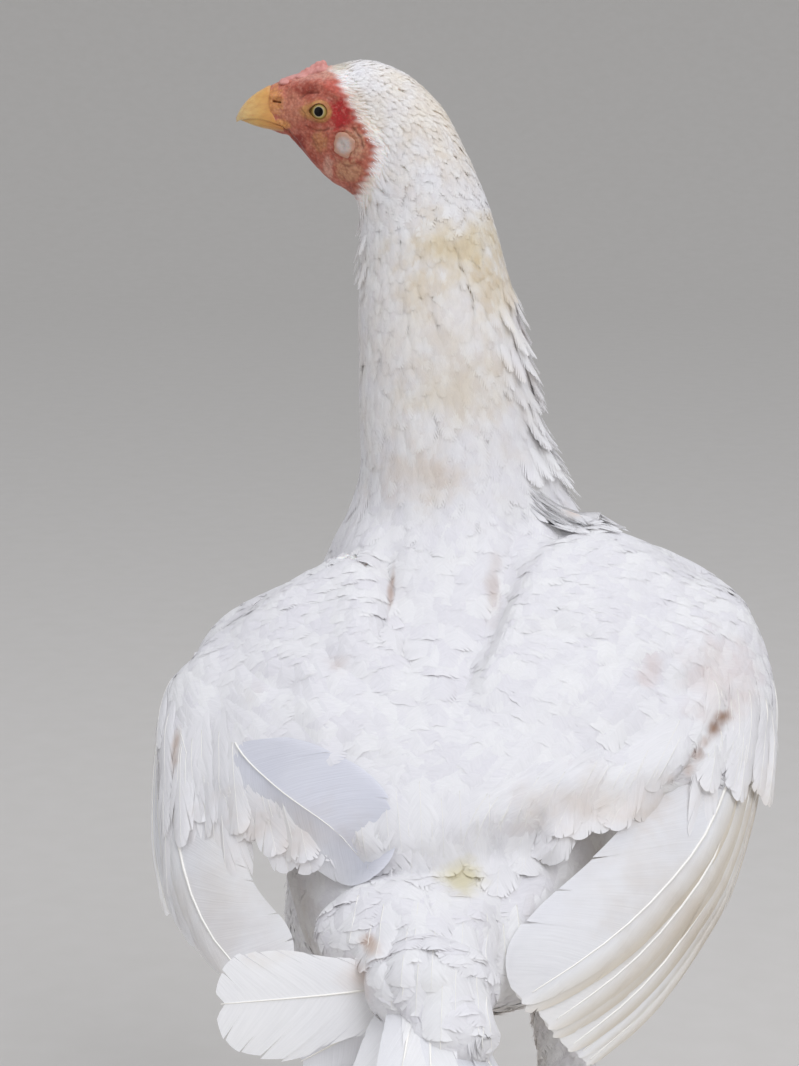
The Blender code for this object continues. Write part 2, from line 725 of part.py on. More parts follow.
def tail_frame(turn, droop, roll):
    """Direction and face of a tail feather turned to the bird's left, drooped, and rolled about itself."""
    turn, droop = math.radians(turn), math.radians(droop)
    level = Vector((math.sin(turn), math.cos(turn), 0))
    along = level * math.cos(droop) - UP * math.sin(droop)
    face = level * math.sin(droop) + UP * math.cos(droop)
    return along, Matrix.Rotation(math.radians(roll), 3, along) @ face


def tail_vane(turn, droop, roll, length, half_width, lift, sag):
    along, face = tail_frame(turn, droop, roll)
    across = along.cross(face).normalized()
    rows, normals = [], []
    for share, shape in zip(VANE_STATIONS, VANE_SHAPE):
        reach = blended(TAIL_VANE_START, 1.0, share) * length * MM
        point = TAIL_ROOT + along * reach + UP * (lift - sag * share * share) * MM
        edge = across * half_width * shape * MM
        cup = face * TAIL_CUP * shape
        rows.append([point - edge - cup, point, point + edge - cup])
        normals.append(face)
    return slab(rows, normals, "vane")


def build_tail(blockers):
    slope = Matrix.Rotation(TAIL_BASE_SLOPE, 4, "X")
    tail = ball("tail", TAIL_ROOT - UP * TAIL_BASE_DROP, TAIL_BASE_RADII, slope, 16, 8, "plumage")
    vanes = [tail_vane(*feather, TAIL_SAG) for feather in TAIL_FEATHERS]
    for turn, droop, length, half_width in TAIL_COVERTS:
        roll = turn * TAIL_COVERT_ROLL
        lift = TAIL_COVERT_RISE - TAIL_COVERT_FALL * abs(turn)
        vanes.append(tail_vane(turn, droop, roll, length, half_width, lift, TAIL_COVERT_SAG))
    boolean(tail, vanes, "UNION", "MANIFOLD")
    keep_largest(tail)
    cut_clear(tail, *blockers)
    return tail


# Legs

def build_thigh(name, side, blockers):
    rings = []
    for x, y, z, half_width, half_depth in THIGH_SECTIONS:
        centre = Vector((side * x, y, z)) * MM
        rings.append(ring(centre, Vector((half_width * MM, 0, 0)), Vector((0, half_depth * MM, 0)), 18))
    thigh = loft(rings, "thigh_" + name, "plumage")
    cut_clear(thigh, *blockers)
    return thigh


def build_shank(name, side):
    """The scaled leg with two rows of raised scutes down its front."""
    mirror = Matrix.Diagonal((side, 1, 1))
    hock, ankle = mirror @ HOCK, mirror @ ANKLE
    down = (ankle - hock).normalized()
    front = (AHEAD - down * AHEAD.dot(down)).normalized()
    across = front.cross(down).normalized()
    rings = []
    for share, half_width, half_depth in SHANK_SECTIONS:
        centre = hock.lerp(ankle, share)
        rings.append(ring(centre, front * half_depth * MM, across * half_width * MM, 12))
    shank = loft(rings, "shank_" + name, "scale")
    plates = []
    pitch = (ankle - hock).length * SCUTE_SPAN / SHANK_SCUTES
    half_width, half_length, half_thickness = SCUTE_RADII
    for i in range(SHANK_SCUTES):
        share = SCUTE_START + SCUTE_SPAN * (i + 0.5) / SHANK_SCUTES
        centre = hock.lerp(ankle, share)
        radius = (SCUTE_RADIUS - SCUTE_WAIST * math.sin(math.pi * share)) * MM
        for turn in (-SCUTE_TURN, SCUTE_TURN):
            out = front * math.cos(turn) + across * math.sin(turn)
            beside = out.cross(down).normalized()
            tilt = (down - out * SCUTE_TILT).normalized()
            frame = Matrix((beside, tilt, out)).transposed().to_4x4()
            radii = (half_width, pitch * half_length, half_thickness)
            plates.append(ball("scute", centre + out * radius, radii, frame, 6, 4))
    boolean(shank, plates, "UNION", "MANIFOLD")
    keep_largest(shank)
    return shank


def toe_frame(side, heading):
    angle = math.radians(heading)
    return Vector((side * math.sin(angle), -math.cos(angle), 0))


def toe_points(side, heading, length, radius):
    """Centres and radii along a toe, swollen at each joint pad, where it meets the floor."""
    start = Vector((side * ANKLE.x, ANKLE.y, 0))
    along = toe_frame(side, heading)
    steps = 6 if length > LONG_TOE else 4
    for i in range(steps + 1):
        share = i / steps
        plain = radius * (1 - TOE_TAPER * share) * MM
        rise = plain * TOE_RISE + max(0.0, 1 - share * 4) * TOE_ROOT_RISE
        yield start + along * length * MM * share + UP * rise, plain * (PAD_SWELL if i % 2 else PAD_WAIST)


def build_foot(name, side, blockers):
    start = Vector((side * ANKLE.x, ANKLE.y, 0))
    pieces = []
    for _, heading, length, radius in TOES:
        along = toe_frame(side, heading)
        across = along.cross(UP)
        rings = []
        for centre, size in toe_points(side, heading, length, radius):
            corner = math.tan(math.pi / TOE_SIDES)
            points = ring(centre, (UP + across * corner) * size, (across - UP * corner) * size, TOE_SIDES)
            for point in points:
                point.z = max(point.z, 0.0)
            rings.append(points)
        pieces.append(loft(rings, "toe"))
        count = 4 if length > LONG_TOE else 2
        frame = Matrix((across, along, UP)).transposed().to_4x4()
        half_width, half_length, half_thickness = TOE_SCUTE_RADII
        for k in range(count):
            share = TOE_SCUTE_START + TOE_SCUTE_SPAN * (k + 0.5) / count
            size = radius * (1 - TOE_TAPER * share) * MM
            spot = start + along * length * MM * share + UP * (size * (TOE_RISE + 1) - TOE_SCUTE_DEPTH)
            radii = (size * half_width, length * MM * half_length, half_thickness)
            pieces.append(ball("scute", spot, radii, frame, 6, 3))
    foot = ball("foot_" + name, start + UP * SOLE_RISE, SOLE_RADII, None, 14, 8, "scale")
    for vert in foot.data.vertices:
        vert.co.z = max(vert.co.z, 0.0)
    boolean(foot, pieces, "UNION", "MANIFOLD")
    keep_largest(foot)
    cut_clear(foot, *blockers)
    return foot


def build_claw(name, side, toe, foot):
    toe_name, heading, length, radius = toe
    along = toe_frame(side, heading)
    across = along.cross(UP)
    size = radius * 0.5 * MM
    start = Vector((side * ANKLE.x, ANKLE.y, 0))
    root = start + along * (length - CLAW_OVERLAP) * MM + UP * (size + 0.5 * MM)
    reach = CLAW_LENGTH if length > LONG_TOE else CLAW_LENGTH * 0.75
    rings = []
    for share, thick in CLAW_SECTIONS:
        bend = CLAW_ARCH * math.sin(math.pi * share) - CLAW_HOOK * share * share
        centre = root + along * reach * share + UP * bend * MM
        rings.append(ring(centre, UP * size * thick, across * size * thick * 0.85, 8))
    claw = loft(rings, f"claw_{name}_{toe_name}", "claw")
    cut_clear(claw, foot)
    return claw


def shade(obj):
    obj.data.shade_smooth()
    obj.data.set_sharp_from_angle(angle=SHARP_ANGLE)


def centre_on_floor(nodes):
    """Moves the whole bird so that the middle of its box stands over the origin."""
    corners = [v.co for node in nodes for v in node.data.vertices]
    middle = Vector((
        (min(c.x for c in corners) + max(c.x for c in corners)) / 2,
        (min(c.y for c in corners) + max(c.y for c in corners)) / 2,
        min(c.z for c in corners),
    ))
    for node in nodes:
        node.data.transform(Matrix.Translation(-middle))


def main():
    for obj in list(bpy.data.objects):
        bpy.data.objects.remove(obj)
    body = torso_form()
    upper = neck_form()
    head, eyes = build_head(upper)
    below_head = sliced(upper, *NECK_CUT, "neck_and_base", None)
    remove(upper)
    comb = build_comb(head)
    lobes = [build_lobe(name, side, head) for name, side in SIDES.items()]
    beaks = build_beak()
    boolean(body, [below_head], "UNION")
    keep_largest(body)
    neck = sliced(body, NECK_BASE_CUT[0], -NECK_BASE_CUT[1], "neck", "plumage")
    torso = sliced(body, *NECK_BASE_CUT, "torso", "plumage")
    remove(body)
    nodes = [head, *eyes, comb, *lobes, *beaks, neck, torso]
    thighs = {name: build_thigh(name, side, [torso]) for name, side in SIDES.items()}
    arms = {name: build_arm(name, [torso, neck]) for name in SIDES}
    hands = {name: build_hand(name, [torso, thighs[name], arms[name]]) for name in SIDES}
    tail = build_tail([torso])
    nodes += [*thighs.values(), *arms.values(), *hands.values(), tail]
    for name, side in SIDES.items():
        shank = build_shank(name, side)
        cut_clear(shank, thighs[name])
        foot = build_foot(name, side, [shank])
        nodes += [shank, foot]
        nodes += [build_claw(name, side, toe, foot) for toe in TOES]
    centre_on_floor(nodes)
    for node in nodes:
        shade(node)
    bpy.data.collections.remove(collection(OBJECT + "_cutters"))


main()
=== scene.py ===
import math

import bpy
import bmesh
import numpy as np
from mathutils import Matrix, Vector, noise
from mathutils.bvhtree import BVHTree
from mathutils.kdtree import KDTree


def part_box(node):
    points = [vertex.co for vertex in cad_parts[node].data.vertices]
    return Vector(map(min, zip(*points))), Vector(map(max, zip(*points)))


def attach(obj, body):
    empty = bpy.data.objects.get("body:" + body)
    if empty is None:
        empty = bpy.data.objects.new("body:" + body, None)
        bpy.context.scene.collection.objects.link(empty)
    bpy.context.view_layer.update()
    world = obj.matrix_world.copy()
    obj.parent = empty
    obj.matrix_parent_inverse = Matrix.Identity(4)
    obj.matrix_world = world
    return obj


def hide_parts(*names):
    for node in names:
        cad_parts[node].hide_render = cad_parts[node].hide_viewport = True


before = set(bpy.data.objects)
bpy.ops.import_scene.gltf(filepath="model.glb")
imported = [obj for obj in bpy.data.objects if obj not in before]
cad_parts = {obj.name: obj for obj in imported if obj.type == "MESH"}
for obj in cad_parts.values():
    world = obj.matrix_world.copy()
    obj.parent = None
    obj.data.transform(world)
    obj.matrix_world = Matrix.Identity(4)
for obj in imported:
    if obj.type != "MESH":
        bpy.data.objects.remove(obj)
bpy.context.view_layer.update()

# A white aseel hen. Everything below is drawn in millimetres, with the bird facing -Y and its left side
# at +X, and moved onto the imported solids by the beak, which is where the drawing and the solids meet.

mm = 0.001
up = np.array([0.0, 0.0, 1.0])
sides = {"left": 1, "right": -1}
chance = np.random.default_rng(11)

beakSeat = {"tip": 112.5, "middle": -100.0, "top": 587.0}
beakLow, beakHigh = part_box("beak_upper")
shift = np.array([
    beakHigh.x / mm - beakSeat["tip"],
    (beakLow.y + beakHigh.y) / 2 / mm - beakSeat["middle"],
    beakHigh.z / mm - beakSeat["top"],
])


def linear(code):  # "#rrggbb" in sRGB to the linear colour that shaders want
    parts = [int(code[i:i + 2], 16) / 255 for i in (1, 3, 5)]
    return tuple(c / 12.92 if c <= 0.04045 else ((c + 0.055) / 1.055) ** 2.4 for c in parts) + (1.0,)


def unit(v):
    return v / np.maximum(np.linalg.norm(v, axis=-1, keepdims=True), 1e-9)


def ease(low, high, value):  # 0 under low, 1 over high, smooth between
    t = np.clip((value - low) / (high - low), 0, 1)
    return t * t * (3 - 2 * t)


# Materials

# a node with its settings and links; returns one output
def addNode(tree, kind, inputs=None, give=0, **settings):
    node = tree.nodes.new("ShaderNode" + kind)
    for name, value in settings.items():
        setattr(node, name, value)
    for name, value in (inputs or {}).items():
        if isinstance(value, bpy.types.NodeSocket):
            tree.links.new(value, node.inputs[name])
        else:
            node.inputs[name].default_value = value
    return node.outputs[give]


reliefDepth = 0.0003  # how tall barbs, pebbles and layers of horn are drawn, in metres


def newMaterial(name, roughness, **constants):
    made = bpy.data.materials.new(name)
    made.use_nodes = True
    shader = made.node_tree.nodes["Principled BSDF"]
    shader.inputs["Roughness"].default_value = roughness
    for socket, value in constants.items():
        shader.inputs[socket.replace("_", " ")].default_value = value
    return made, made.node_tree, shader


strayShare = 0.22  # how far a feather's own tint shifts the edge of a mark
markGrain, markRagged, markSoft = 80.0, 0.55, 0.95  # grain and raggedness of the marks on the plumage


def spotMask(tree, where, centre, radii, soft=0.5, ragged=0.35, grain=60.0, stray=None):
    # 1 in the middle of an oval patch and 0 outside it, with a ragged edge; stray shifts the edge from
    # feather to feather
    centre = tuple((np.array(centre) + shift) * mm)
    moved = addNode(tree, "VectorMath", {0: where, 1: centre}, operation="SUBTRACT")
    scaled = addNode(tree, "VectorMath", {0: moved, 1: tuple(1 / (r * mm) for r in radii)},
                     operation="MULTIPLY")
    total = addNode(tree, "VectorMath", {0: scaled}, "Value", operation="LENGTH")
    cloud = addNode(tree, "TexNoise", {"Vector": where, "Scale": grain, "Detail": 3.0})
    rough = addNode(tree, "Math", {0: cloud, 1: ragged * 2, 2: -ragged}, operation="MULTIPLY_ADD")
    total = addNode(tree, "Math", {0: total, 1: rough}, operation="ADD")
    if stray:
        total = addNode(tree, "Math", {0: stray, 1: strayShare, 2: total}, operation="MULTIPLY_ADD")
    return addNode(tree, "MapRange", {"Value": total, "From Min": 1.0, "From Max": 1.0 - soft},
                   interpolation_type="SMOOTHSTEP")


# lays one more colour over a colour where a mask says
def tinted(tree, colour, mask, strength, code, blend="MIX"):
    share = addNode(tree, "Math", {0: mask, 1: strength}, operation="MULTIPLY")
    return addNode(tree, "Mix", {0: share, 6: colour, 7: linear(code)}, 2, data_type="RGBA", blend_type=blend)


# colour and fine relief onto the shader
def finishLook(tree, shader, colour, height, strength, invert=False):
    tree.links.new(colour, shader.inputs["Base Color"])
    relief = addNode(tree, "Bump", {"Height": height, "Strength": strength, "Distance": reliefDepth},
                     invert=invert)
    tree.links.new(relief, shader.inputs["Normal"])


# Marks on the plumage, on the skin and the feathers alike, stains and painted shade: colour, strength, middle
# and radii in mm
plumageMarks = (
    ("#efdfae", 0.60, (-2, -66, 514), (50, 60, 25)),     # cream stain over the nape
    ("#eddaa6", 0.45, (-16, -72, 492), (22, 50, 26)),
    ("#efe0bc", 0.50, (20, -72, 494), (18, 50, 20)),
    ("#efe6d0", 0.45, (4, -50, 450), (46, 60, 30)),
    ("#f0e4d2", 0.50, (20, -50, 408), (44, 60, 19)),
    ("#faf0dc", 0.40, (14, -80, 470), (75, 90, 120)),    # warm cast of the whole neck
    ("#fdf3dc", 0.60, (20, -100, 575), (60, 60, 50)),    # and of the head's crown
    ("#e3c9b0", 0.60, (-53, -50, 392), (9, 30, 5)),      # painted shade in the hollow behind the right shoulder's tuft
    ("#ead9c4", 0.45, (-62, 50, 288), (66, 90, 20)),     # painted warm shade under the wings' rims
    ("#ead9c4", 0.40, (60, 50, 278), (60, 90, 18)),
    ("#ecd8cc", 0.50, (-118, 0, 324), (28, 60, 28)),     # warm shade inside the right wrist
    ("#eccdb9", 0.70, (-62, 0, 306), (9, 60, 7)),        # two reddish spots on the right wing
    ("#efd8ca", 0.60, (-88, 0, 334), (10, 60, 9)),
    ("#dccabe", 0.70, (52, -10, 335), (24, 60, 8)),      # painted shade in the furrows along the left wing's scallops
    ("#dccabe", 0.60, (88, -10, 322), (22, 60, 8)),
    ("#c9a47f", 0.85, (125, 20, 292), (4, 40, 17)),      # painted brown shadow in the slit at the left wrist
    ("#ae8362", 0.85, (-120, 30, 314), (6.5, 40, 5)),    # painted brown shadow in the slit at the right wrist
    ("#ae8362", 0.85, (-116, 30, 310), (6.5, 40, 5)),
    ("#b48a68", 0.85, (-112, 30, 306), (6.5, 40, 5)),
    ("#bb9474", 0.85, (-108, 30, 302), (6.5, 40, 5)),
    ("#ccab8e", 0.75, (-104, 30, 297), (6, 40, 6)),
    ("#c4a48c", 0.80, (31, -30, 360), (2.4, 60, 16)),    # painted brown shadow in the slit left of the spine
    ("#e6dad0", 0.60, (-16, -20, 360), (6, 60, 22)),     # shade in the groove right of it
    ("#ead9ca", 0.50, (-66, -20, 326), (30, 60, 8)),
    ("#efe2d8", 0.50, (0, -10, 318), (50, 60, 12)),
    ("#e8dac6", 0.60, (52, 170, 246), (42, 40, 9)),      # painted shade on the upper half of the feather held out level
    ("#e6dccf", 0.45, (-105, 90, 240), (75, 90, 65)),    # painted shade: the wings' hands are darker than the back
    ("#ebe3da", 0.40, (100, 90, 236), (65, 90, 60)),
    ("#f0ebe6", 0.50, (100, -60, 372), (50, 70, 36)),    # and so is the left shoulder
    ("#dfc3aa", 0.80, (28, 136, 246), (9, 22, 5.5)),     # brown spot at the left of the rump
    ("#efe0d4", 0.50, (34, 140, 232), (16, 30, 12)),
    ("#efe6b4", 0.65, (-8, 104, 263), (17, 24, 11)),     # yellow of the preen gland
    ("#d3c6a8", 0.60, (63, -100, 597), (12, 60, 7)),     # sallow down at the edge of the face
    ("#dccab4", 0.50, (53, -100, 577), (8, 60, 16)),
    ("#dcc6b4", 0.50, (49, -100, 545), (8, 60, 12)),
    ("#eadfc8", 0.45, (0, 50, 215), (90, 80, 55)),       # creamier, darker fluff under the tail and low on the body
    ("#dccbaa", 0.35, (0, -20, 160), (95, 90, 60)),
    ("#e3d4bc", 0.60, (-140, 40, 250), (24, 60, 60)),    # painted cream shade along the right hand's outer edge
)


def markedWhite(tree, where, colour, stray=None):
    for code, strength, centre, radii in plumageMarks:
        mask = spotMask(tree, where, centre, radii, markSoft, markRagged, markGrain, stray)
        colour = tinted(tree, colour, mask, strength, code, "MULTIPLY")
    return colour


# Keratin vane, grown and preened: matt, softly see-through, with fine barbs that run from the shaft to
# the edge
def featherMaterial(name, light, shade, barbPitch, bump):
    made, tree, shader = newMaterial(name, 0.72, Specular_IOR_Level=0.28, Sheen_Weight=0.15,
                                     Sheen_Roughness=0.5)
    where = addNode(tree, "TexCoord", give="Object")
    barbs = addNode(tree, "UVMap", uv_map="barbs")
    # barbs are about 0.3 mm apart on such a bird; they are drawn coarser, so that they show
    stretched = addNode(tree, "Mapping", {"Vector": barbs, "Scale": (10 / barbPitch, 1.2, 1.0)})
    strands = addNode(tree, "TexNoise", {"Vector": stretched, "Scale": 1.0, "Detail": 2.0, "Roughness": 0.6})
    tint = addNode(tree, "Attribute", give="Fac", attribute_name="tint")  # 0 the shade colour, 1 white, 2 painted cream shade; on flight vanes the shade colour is painted lavender shade
    cloud = addNode(tree, "TexNoise", {"Vector": where, "Scale": 22.0, "Detail": 3.0})
    mixed = addNode(tree, "Math", {0: cloud, 1: 0.4, 2: -0.2}, operation="MULTIPLY_ADD")
    mixed = addNode(tree, "Math", {0: mixed, 1: tint}, operation="ADD", use_clamp=True)
    # painted cream shade where the tint goes over 1
    paintedCreamShade = addNode(tree, "Math", {0: tint, 1: 1.0}, operation="SUBTRACT", use_clamp=True)
    colour = addNode(tree, "Mix", {0: mixed, 6: linear(shade), 7: linear(light)}, 2, data_type="RGBA")
    colour = tinted(tree, colour, paintedCreamShade, 1.0, "#e6dac4")
    streak = addNode(tree, "Math", {0: strands, 1: 0.16, 2: 0.92}, operation="MULTIPLY_ADD")
    colour = addNode(tree, "Mix", {0: 1.0, 6: colour, 7: streak}, 2, data_type="RGBA", blend_type="MULTIPLY")
    colour = markedWhite(tree, where, colour, tint)
    finishLook(tree, shader, colour, strands, bump)
    through = addNode(tree, "BsdfTranslucent", {"Color": colour})  # a vane lets light through
    mix = addNode(tree, "MixShader", {0: 0.35, 1: shader.outputs[0], 2: through})
    tree.links.new(mix, tree.nodes["Material Output"].inputs["Surface"])
    return made


# Marks on the bare face, both sides alike: colour, strength, x and z, radii in mm
faceMarks = (
    ("#c98a74", 0.95, (84.5, 577.0), (9.5, 11.5)),   # pale lore
    ("#d09a90", 0.95, (80.0, 594.0), (18.0, 6.5)),   # pale skin at the foot of the comb
    ("#d5aa9e", 0.80, (66.0, 595.0), (7.0, 7.0)),
    ("#94402f", 0.85, (77.0, 586.5), (8.5, 4.2)),    # brow
    ("#ae2226", 1.00, (60.0, 574.0), (8.5, 10.5)),   # bright red behind the eye
    ("#c25a4c", 0.80, (63.0, 587.0), (7.5, 5.5)),
    ("#b98258", 0.85, (72.5, 576.0), (8.0, 7.0)),    # sallow skin round the lids
    ("#c28a62", 0.95, (70.5, 561.0), (5.5, 7.5)),    # sallow cheek
    ("#8a3028", 0.90, (81.5, 559.0), (4.5, 9.0)),    # dark red along the jaw
    ("#a04436", 0.80, (76.0, 551.0), (5.0, 7.0)),
    ("#dcb4a8", 0.85, (67.0, 549.0), (3.5, 8.0)),    # pale streak down the cheek
    ("#c69a7c", 1.00, (56.5, 548.0), (9.5, 7.5)),    # sallow, spotted skin under the lobe
    ("#a85c4a", 0.85, (54.0, 538.5), (6.0, 5.0)),
    ("#caa088", 1.00, (54.5, 560.5), (9.5, 10.5)),   # ring of skin round the lobe
    ("#d29a60", 1.00, (93.0, 580.0), (6.5, 9.0)),    # skin round the nostril
    ("#dca668", 1.00, (90.5, 569.0), (7.0, 3.5)),    # corner of the mouth
)


# Living skin: thin and bloody on the face, with pebbles about 1 mm across; pale and downy under the feathers
def skinMaterial():
    made, tree, shader = newMaterial("henSkin", 0.5, Specular_IOR_Level=0.38, Subsurface_Weight=0.2,
                                     Subsurface_Scale=0.0012)
    shader.inputs["Subsurface Radius"].default_value = (1.0, 0.35, 0.25)
    where = addNode(tree, "TexCoord", give="Object")
    pebbles = addNode(tree, "TexVoronoi", {"Vector": where, "Scale": 1000 / 1.3, "Smoothness": 0.6},
                      feature="SMOOTH_F1")
    mottle = addNode(tree, "TexNoise",
                     {"Vector": where, "Scale": 1000 / 3.6, "Detail": 4.0, "Roughness": 0.65})
    spread = addNode(tree, "MapRange", {"Value": mottle, "From Min": 0.32, "From Max": 0.68})
    colour = addNode(tree, "Mix", {0: spread, 6: linear("#a8523f"), 7: linear("#cc8474")}, 2,
                     data_type="RGBA")
    for code, strength, (x, z), (rx, rz) in faceMarks:
        mask = spotMask(tree, where, (x, -100, z), (rx, 60, rz), 0.55, 0.5, 300.0)
        colour = tinted(tree, colour, mask, strength, code)
    speck = addNode(tree, "MapRange", {"Value": pebbles, "From Min": 0.3, "From Max": 0.8})
    colour = tinted(tree, colour, speck, 0.4, "#7a2c22")
    blotch = addNode(tree, "TexNoise",
                     {"Vector": where, "Scale": 1000 / 2.4, "Detail": 3.0, "Roughness": 0.7})
    light = addNode(tree, "MapRange", {"Value": blotch, "From Min": 0.52, "From Max": 0.72})
    colour = tinted(tree, colour, light, 0.35, "#dfb0a2")
    dark = addNode(tree, "MapRange", {"Value": blotch, "From Min": 0.46, "From Max": 0.30})
    colour = tinted(tree, colour, dark, 0.45, "#7d3429")
    lids = addNode(tree, "Attribute", give="Fac", attribute_name="lid")
    sallow = addNode(tree, "Mix", {0: spread, 6: linear("#a26c3e"), 7: linear("#cda466")}, 2,
                     data_type="RGBA")
    lids = addNode(tree, "Math", {0: lids, 1: 0.85}, operation="MULTIPLY")
    colour = addNode(tree, "Mix", {0: lids, 6: colour, 7: sallow}, 2, data_type="RGBA")
    colour = tinted(tree, colour, 1.0, 1.0, "#f6e7d9", "MULTIPLY")
    # painted shade in the face's furrows and along the rims of the lids
    crease = addNode(tree, "Attribute", give="Fac", attribute_name="crease")
    crease = addNode(tree, "Math", {0: crease, 1: spread}, operation="MULTIPLY")
    colour = tinted(tree, colour, crease, 0.85, "#5a2018")
    bare = addNode(tree, "Attribute", give="Fac", attribute_name="bare")
    covered = markedWhite(tree, where, linear("#f6f2ee"))
    colour = addNode(tree, "Mix", {0: bare, 6: covered, 7: colour}, 2, data_type="RGBA")
    finishLook(tree, shader, colour, pebbles, 0.35, invert=True)
    return made


# Horn, scale or bare flesh, grown in layers: two tones that run with the growth
def grownMaterial(name, dark, light, roughness, scale, stretch=(1, 1, 1), coat=0.0):
    made, tree, shader = newMaterial(name, roughness, Coat_Weight=coat, Coat_Roughness=0.2)
    where = addNode(tree, "TexCoord", give="Object")
    mapped = addNode(tree, "Mapping", {"Vector": where, "Scale": stretch})
    cloud = addNode(tree, "TexNoise", {"Vector": mapped, "Scale": scale, "Detail": 4.0, "Roughness": 0.6})
    colour = addNode(tree, "Mix", {0: cloud, 6: linear(dark), 7: linear(light)}, 2, data_type="RGBA")
    finishLook(tree, shader, colour, cloud, 0.3)
    return made


# Earlobe: smooth, bloodless skin, chalky in the middle and sallow towards its rim
def lobeMaterial():
    made, tree, shader = newMaterial("chalkyLobe", 0.5, Specular_IOR_Level=0.35, Subsurface_Weight=0.2,
                                     Subsurface_Scale=0.001)
    where = addNode(tree, "TexCoord", give="Object")
    cloud = addNode(tree, "TexNoise",
                    {"Vector": where, "Scale": 1000 / 2.2, "Detail": 4.0, "Roughness": 0.65})
    colour = addNode(tree, "Mix", {0: cloud, 6: linear("#9c8a82"), 7: linear("#d6cac2")}, 2, data_type="RGBA")
    rim = addNode(tree, "Attribute", give="Fac", attribute_name="rim")
    ragged = addNode(tree, "Math", {0: cloud, 1: 1.2, 2: -0.6}, operation="MULTIPLY_ADD")
    rim = addNode(tree, "Math", {0: rim, 1: ragged}, operation="ADD", use_clamp=True)
    colour = tinted(tree, colour, rim, 0.9, "#bd8c72")
    finishLook(tree, shader, colour, cloud, 0.35)
    return made


# Wet eye: black pupil, grey-gold iris with fine radial fibres, and a clear coat for the cornea
def eyeMaterial():
    made, tree, shader = newMaterial("wetEye", 0.3, Specular_IOR_Level=0.1, Coat_Weight=0.1,
                                     Coat_Roughness=0.03)
    polar = addNode(tree, "UVMap", uv_map="iris")  # x: turn round the pupil, y: distance from it in mm
    away = addNode(tree, "SeparateXYZ", {0: polar}, 1)
    turned = addNode(tree, "Mapping", {"Vector": polar, "Scale": (60.0, 1.0, 1.0)})
    fibres = addNode(tree, "TexNoise", {"Vector": turned, "Scale": 1.0, "Detail": 3.0})
    share = addNode(tree, "Math", {0: away, 1: 8.0}, operation="DIVIDE")
    stops = ((0.0, "#020202"), (0.262, "#040303"), (0.282, "#a39a82"), (0.32, "#b09c66"), (0.40, "#9c8444"),
             (0.50, "#80642e"), (1.0, "#2a1a10"))
    ramp = tree.nodes.new("ShaderNodeValToRGB")
    tree.links.new(share, ramp.inputs[0])
    for at, code in stops[1:-1]:
        ramp.color_ramp.elements.new(at).color = linear(code)
    ramp.color_ramp.elements[0].color = linear(stops[0][1])
    ramp.color_ramp.elements[-1].color = linear(stops[-1][1])
    shade = addNode(tree, "Math", {0: fibres, 1: 0.5, 2: 0.72}, operation="MULTIPLY_ADD")
    colour = addNode(tree, "Mix", {0: 1.0, 6: ramp.outputs[0], 7: shade}, 2, data_type="RGBA",
                     blend_type="MULTIPLY")
    tree.links.new(colour, shader.inputs["Base Color"])
    return made


# Horn of the beak, grown from the base in thin layers and worn by use: orange at the base, pale at the
# tip, half glossy
def hornMaterial():
    made, tree, shader = newMaterial("hornBeak", 0.36, Specular_IOR_Level=0.5, Subsurface_Weight=0.12,
                                     Subsurface_Scale=0.001)
    where = addNode(tree, "TexCoord", give="Object")
    along = addNode(tree, "SeparateXYZ", {0: where}, 0)
    low, high = ((x + shift[0]) * mm for x in (89, 111))
    along = addNode(tree, "MapRange", {"Value": along, "From Min": low, "From Max": high})
    ramp = tree.nodes.new("ShaderNodeValToRGB")
    tree.links.new(along, ramp.inputs[0])
    for at, code in ((0.22, "#cc904b"), (0.5, "#d2a35a"), (0.78, "#d7b370")):
        ramp.color_ramp.elements.new(at).color = linear(code)
    ramp.color_ramp.elements[0].color = linear("#ba7740")
    ramp.color_ramp.elements[-1].color = linear("#d2ba88")
    mapped = addNode(tree, "Mapping", {"Vector": where, "Scale": (0.3, 1, 1)})
    layers = addNode(tree, "TexNoise",
                     {"Vector": mapped, "Scale": 1000 / 1.8, "Detail": 4.0, "Roughness": 0.6})
    worn = addNode(tree, "MapRange", {"Value": layers, "From Min": 0.38, "From Max": 0.7, "To Max": 0.65})
    colour = tinted(tree, ramp.outputs[0], worn, 1.0, "#bd8348")
    finishLook(tree, shader, colour, layers, 0.3)
    return made


whiteCoat = featherMaterial("whiteCoatVane", "#fdfcfa", "#f5f3f4", 1.1, 0.25)
# its shade colour is a lavender-grey painted shade, used where a feather's tint is low
whiteFlight = featherMaterial("whiteFlightVane", "#fbfaf8", "#dfe0e9", 1.1, 0.6)
# hollow horn, smoother and brighter than the vane
ivoryShaft = grownMaterial("ivoryShaft", "#f0ece2", "#fffdf6", 0.38, 900)
henSkin = skinMaterial()
wetEye = eyeMaterial()
hornBeak = hornMaterial()
chalkyLobe = lobeMaterial()
redFlesh = grownMaterial("redFlesh", "#b4645a", "#d9a196", 0.5, 1000 / 2.4)
yellowScale = grownMaterial("yellowScale", "#b08a4a", "#e0c486", 0.42, 1000 / 5, coat=0.15)
paleClaw = grownMaterial("paleClaw", "#a8906a", "#e0d2ac", 0.35, 1000 / 3, (1, 1, 0.3))
print("materials made")


# Meshes

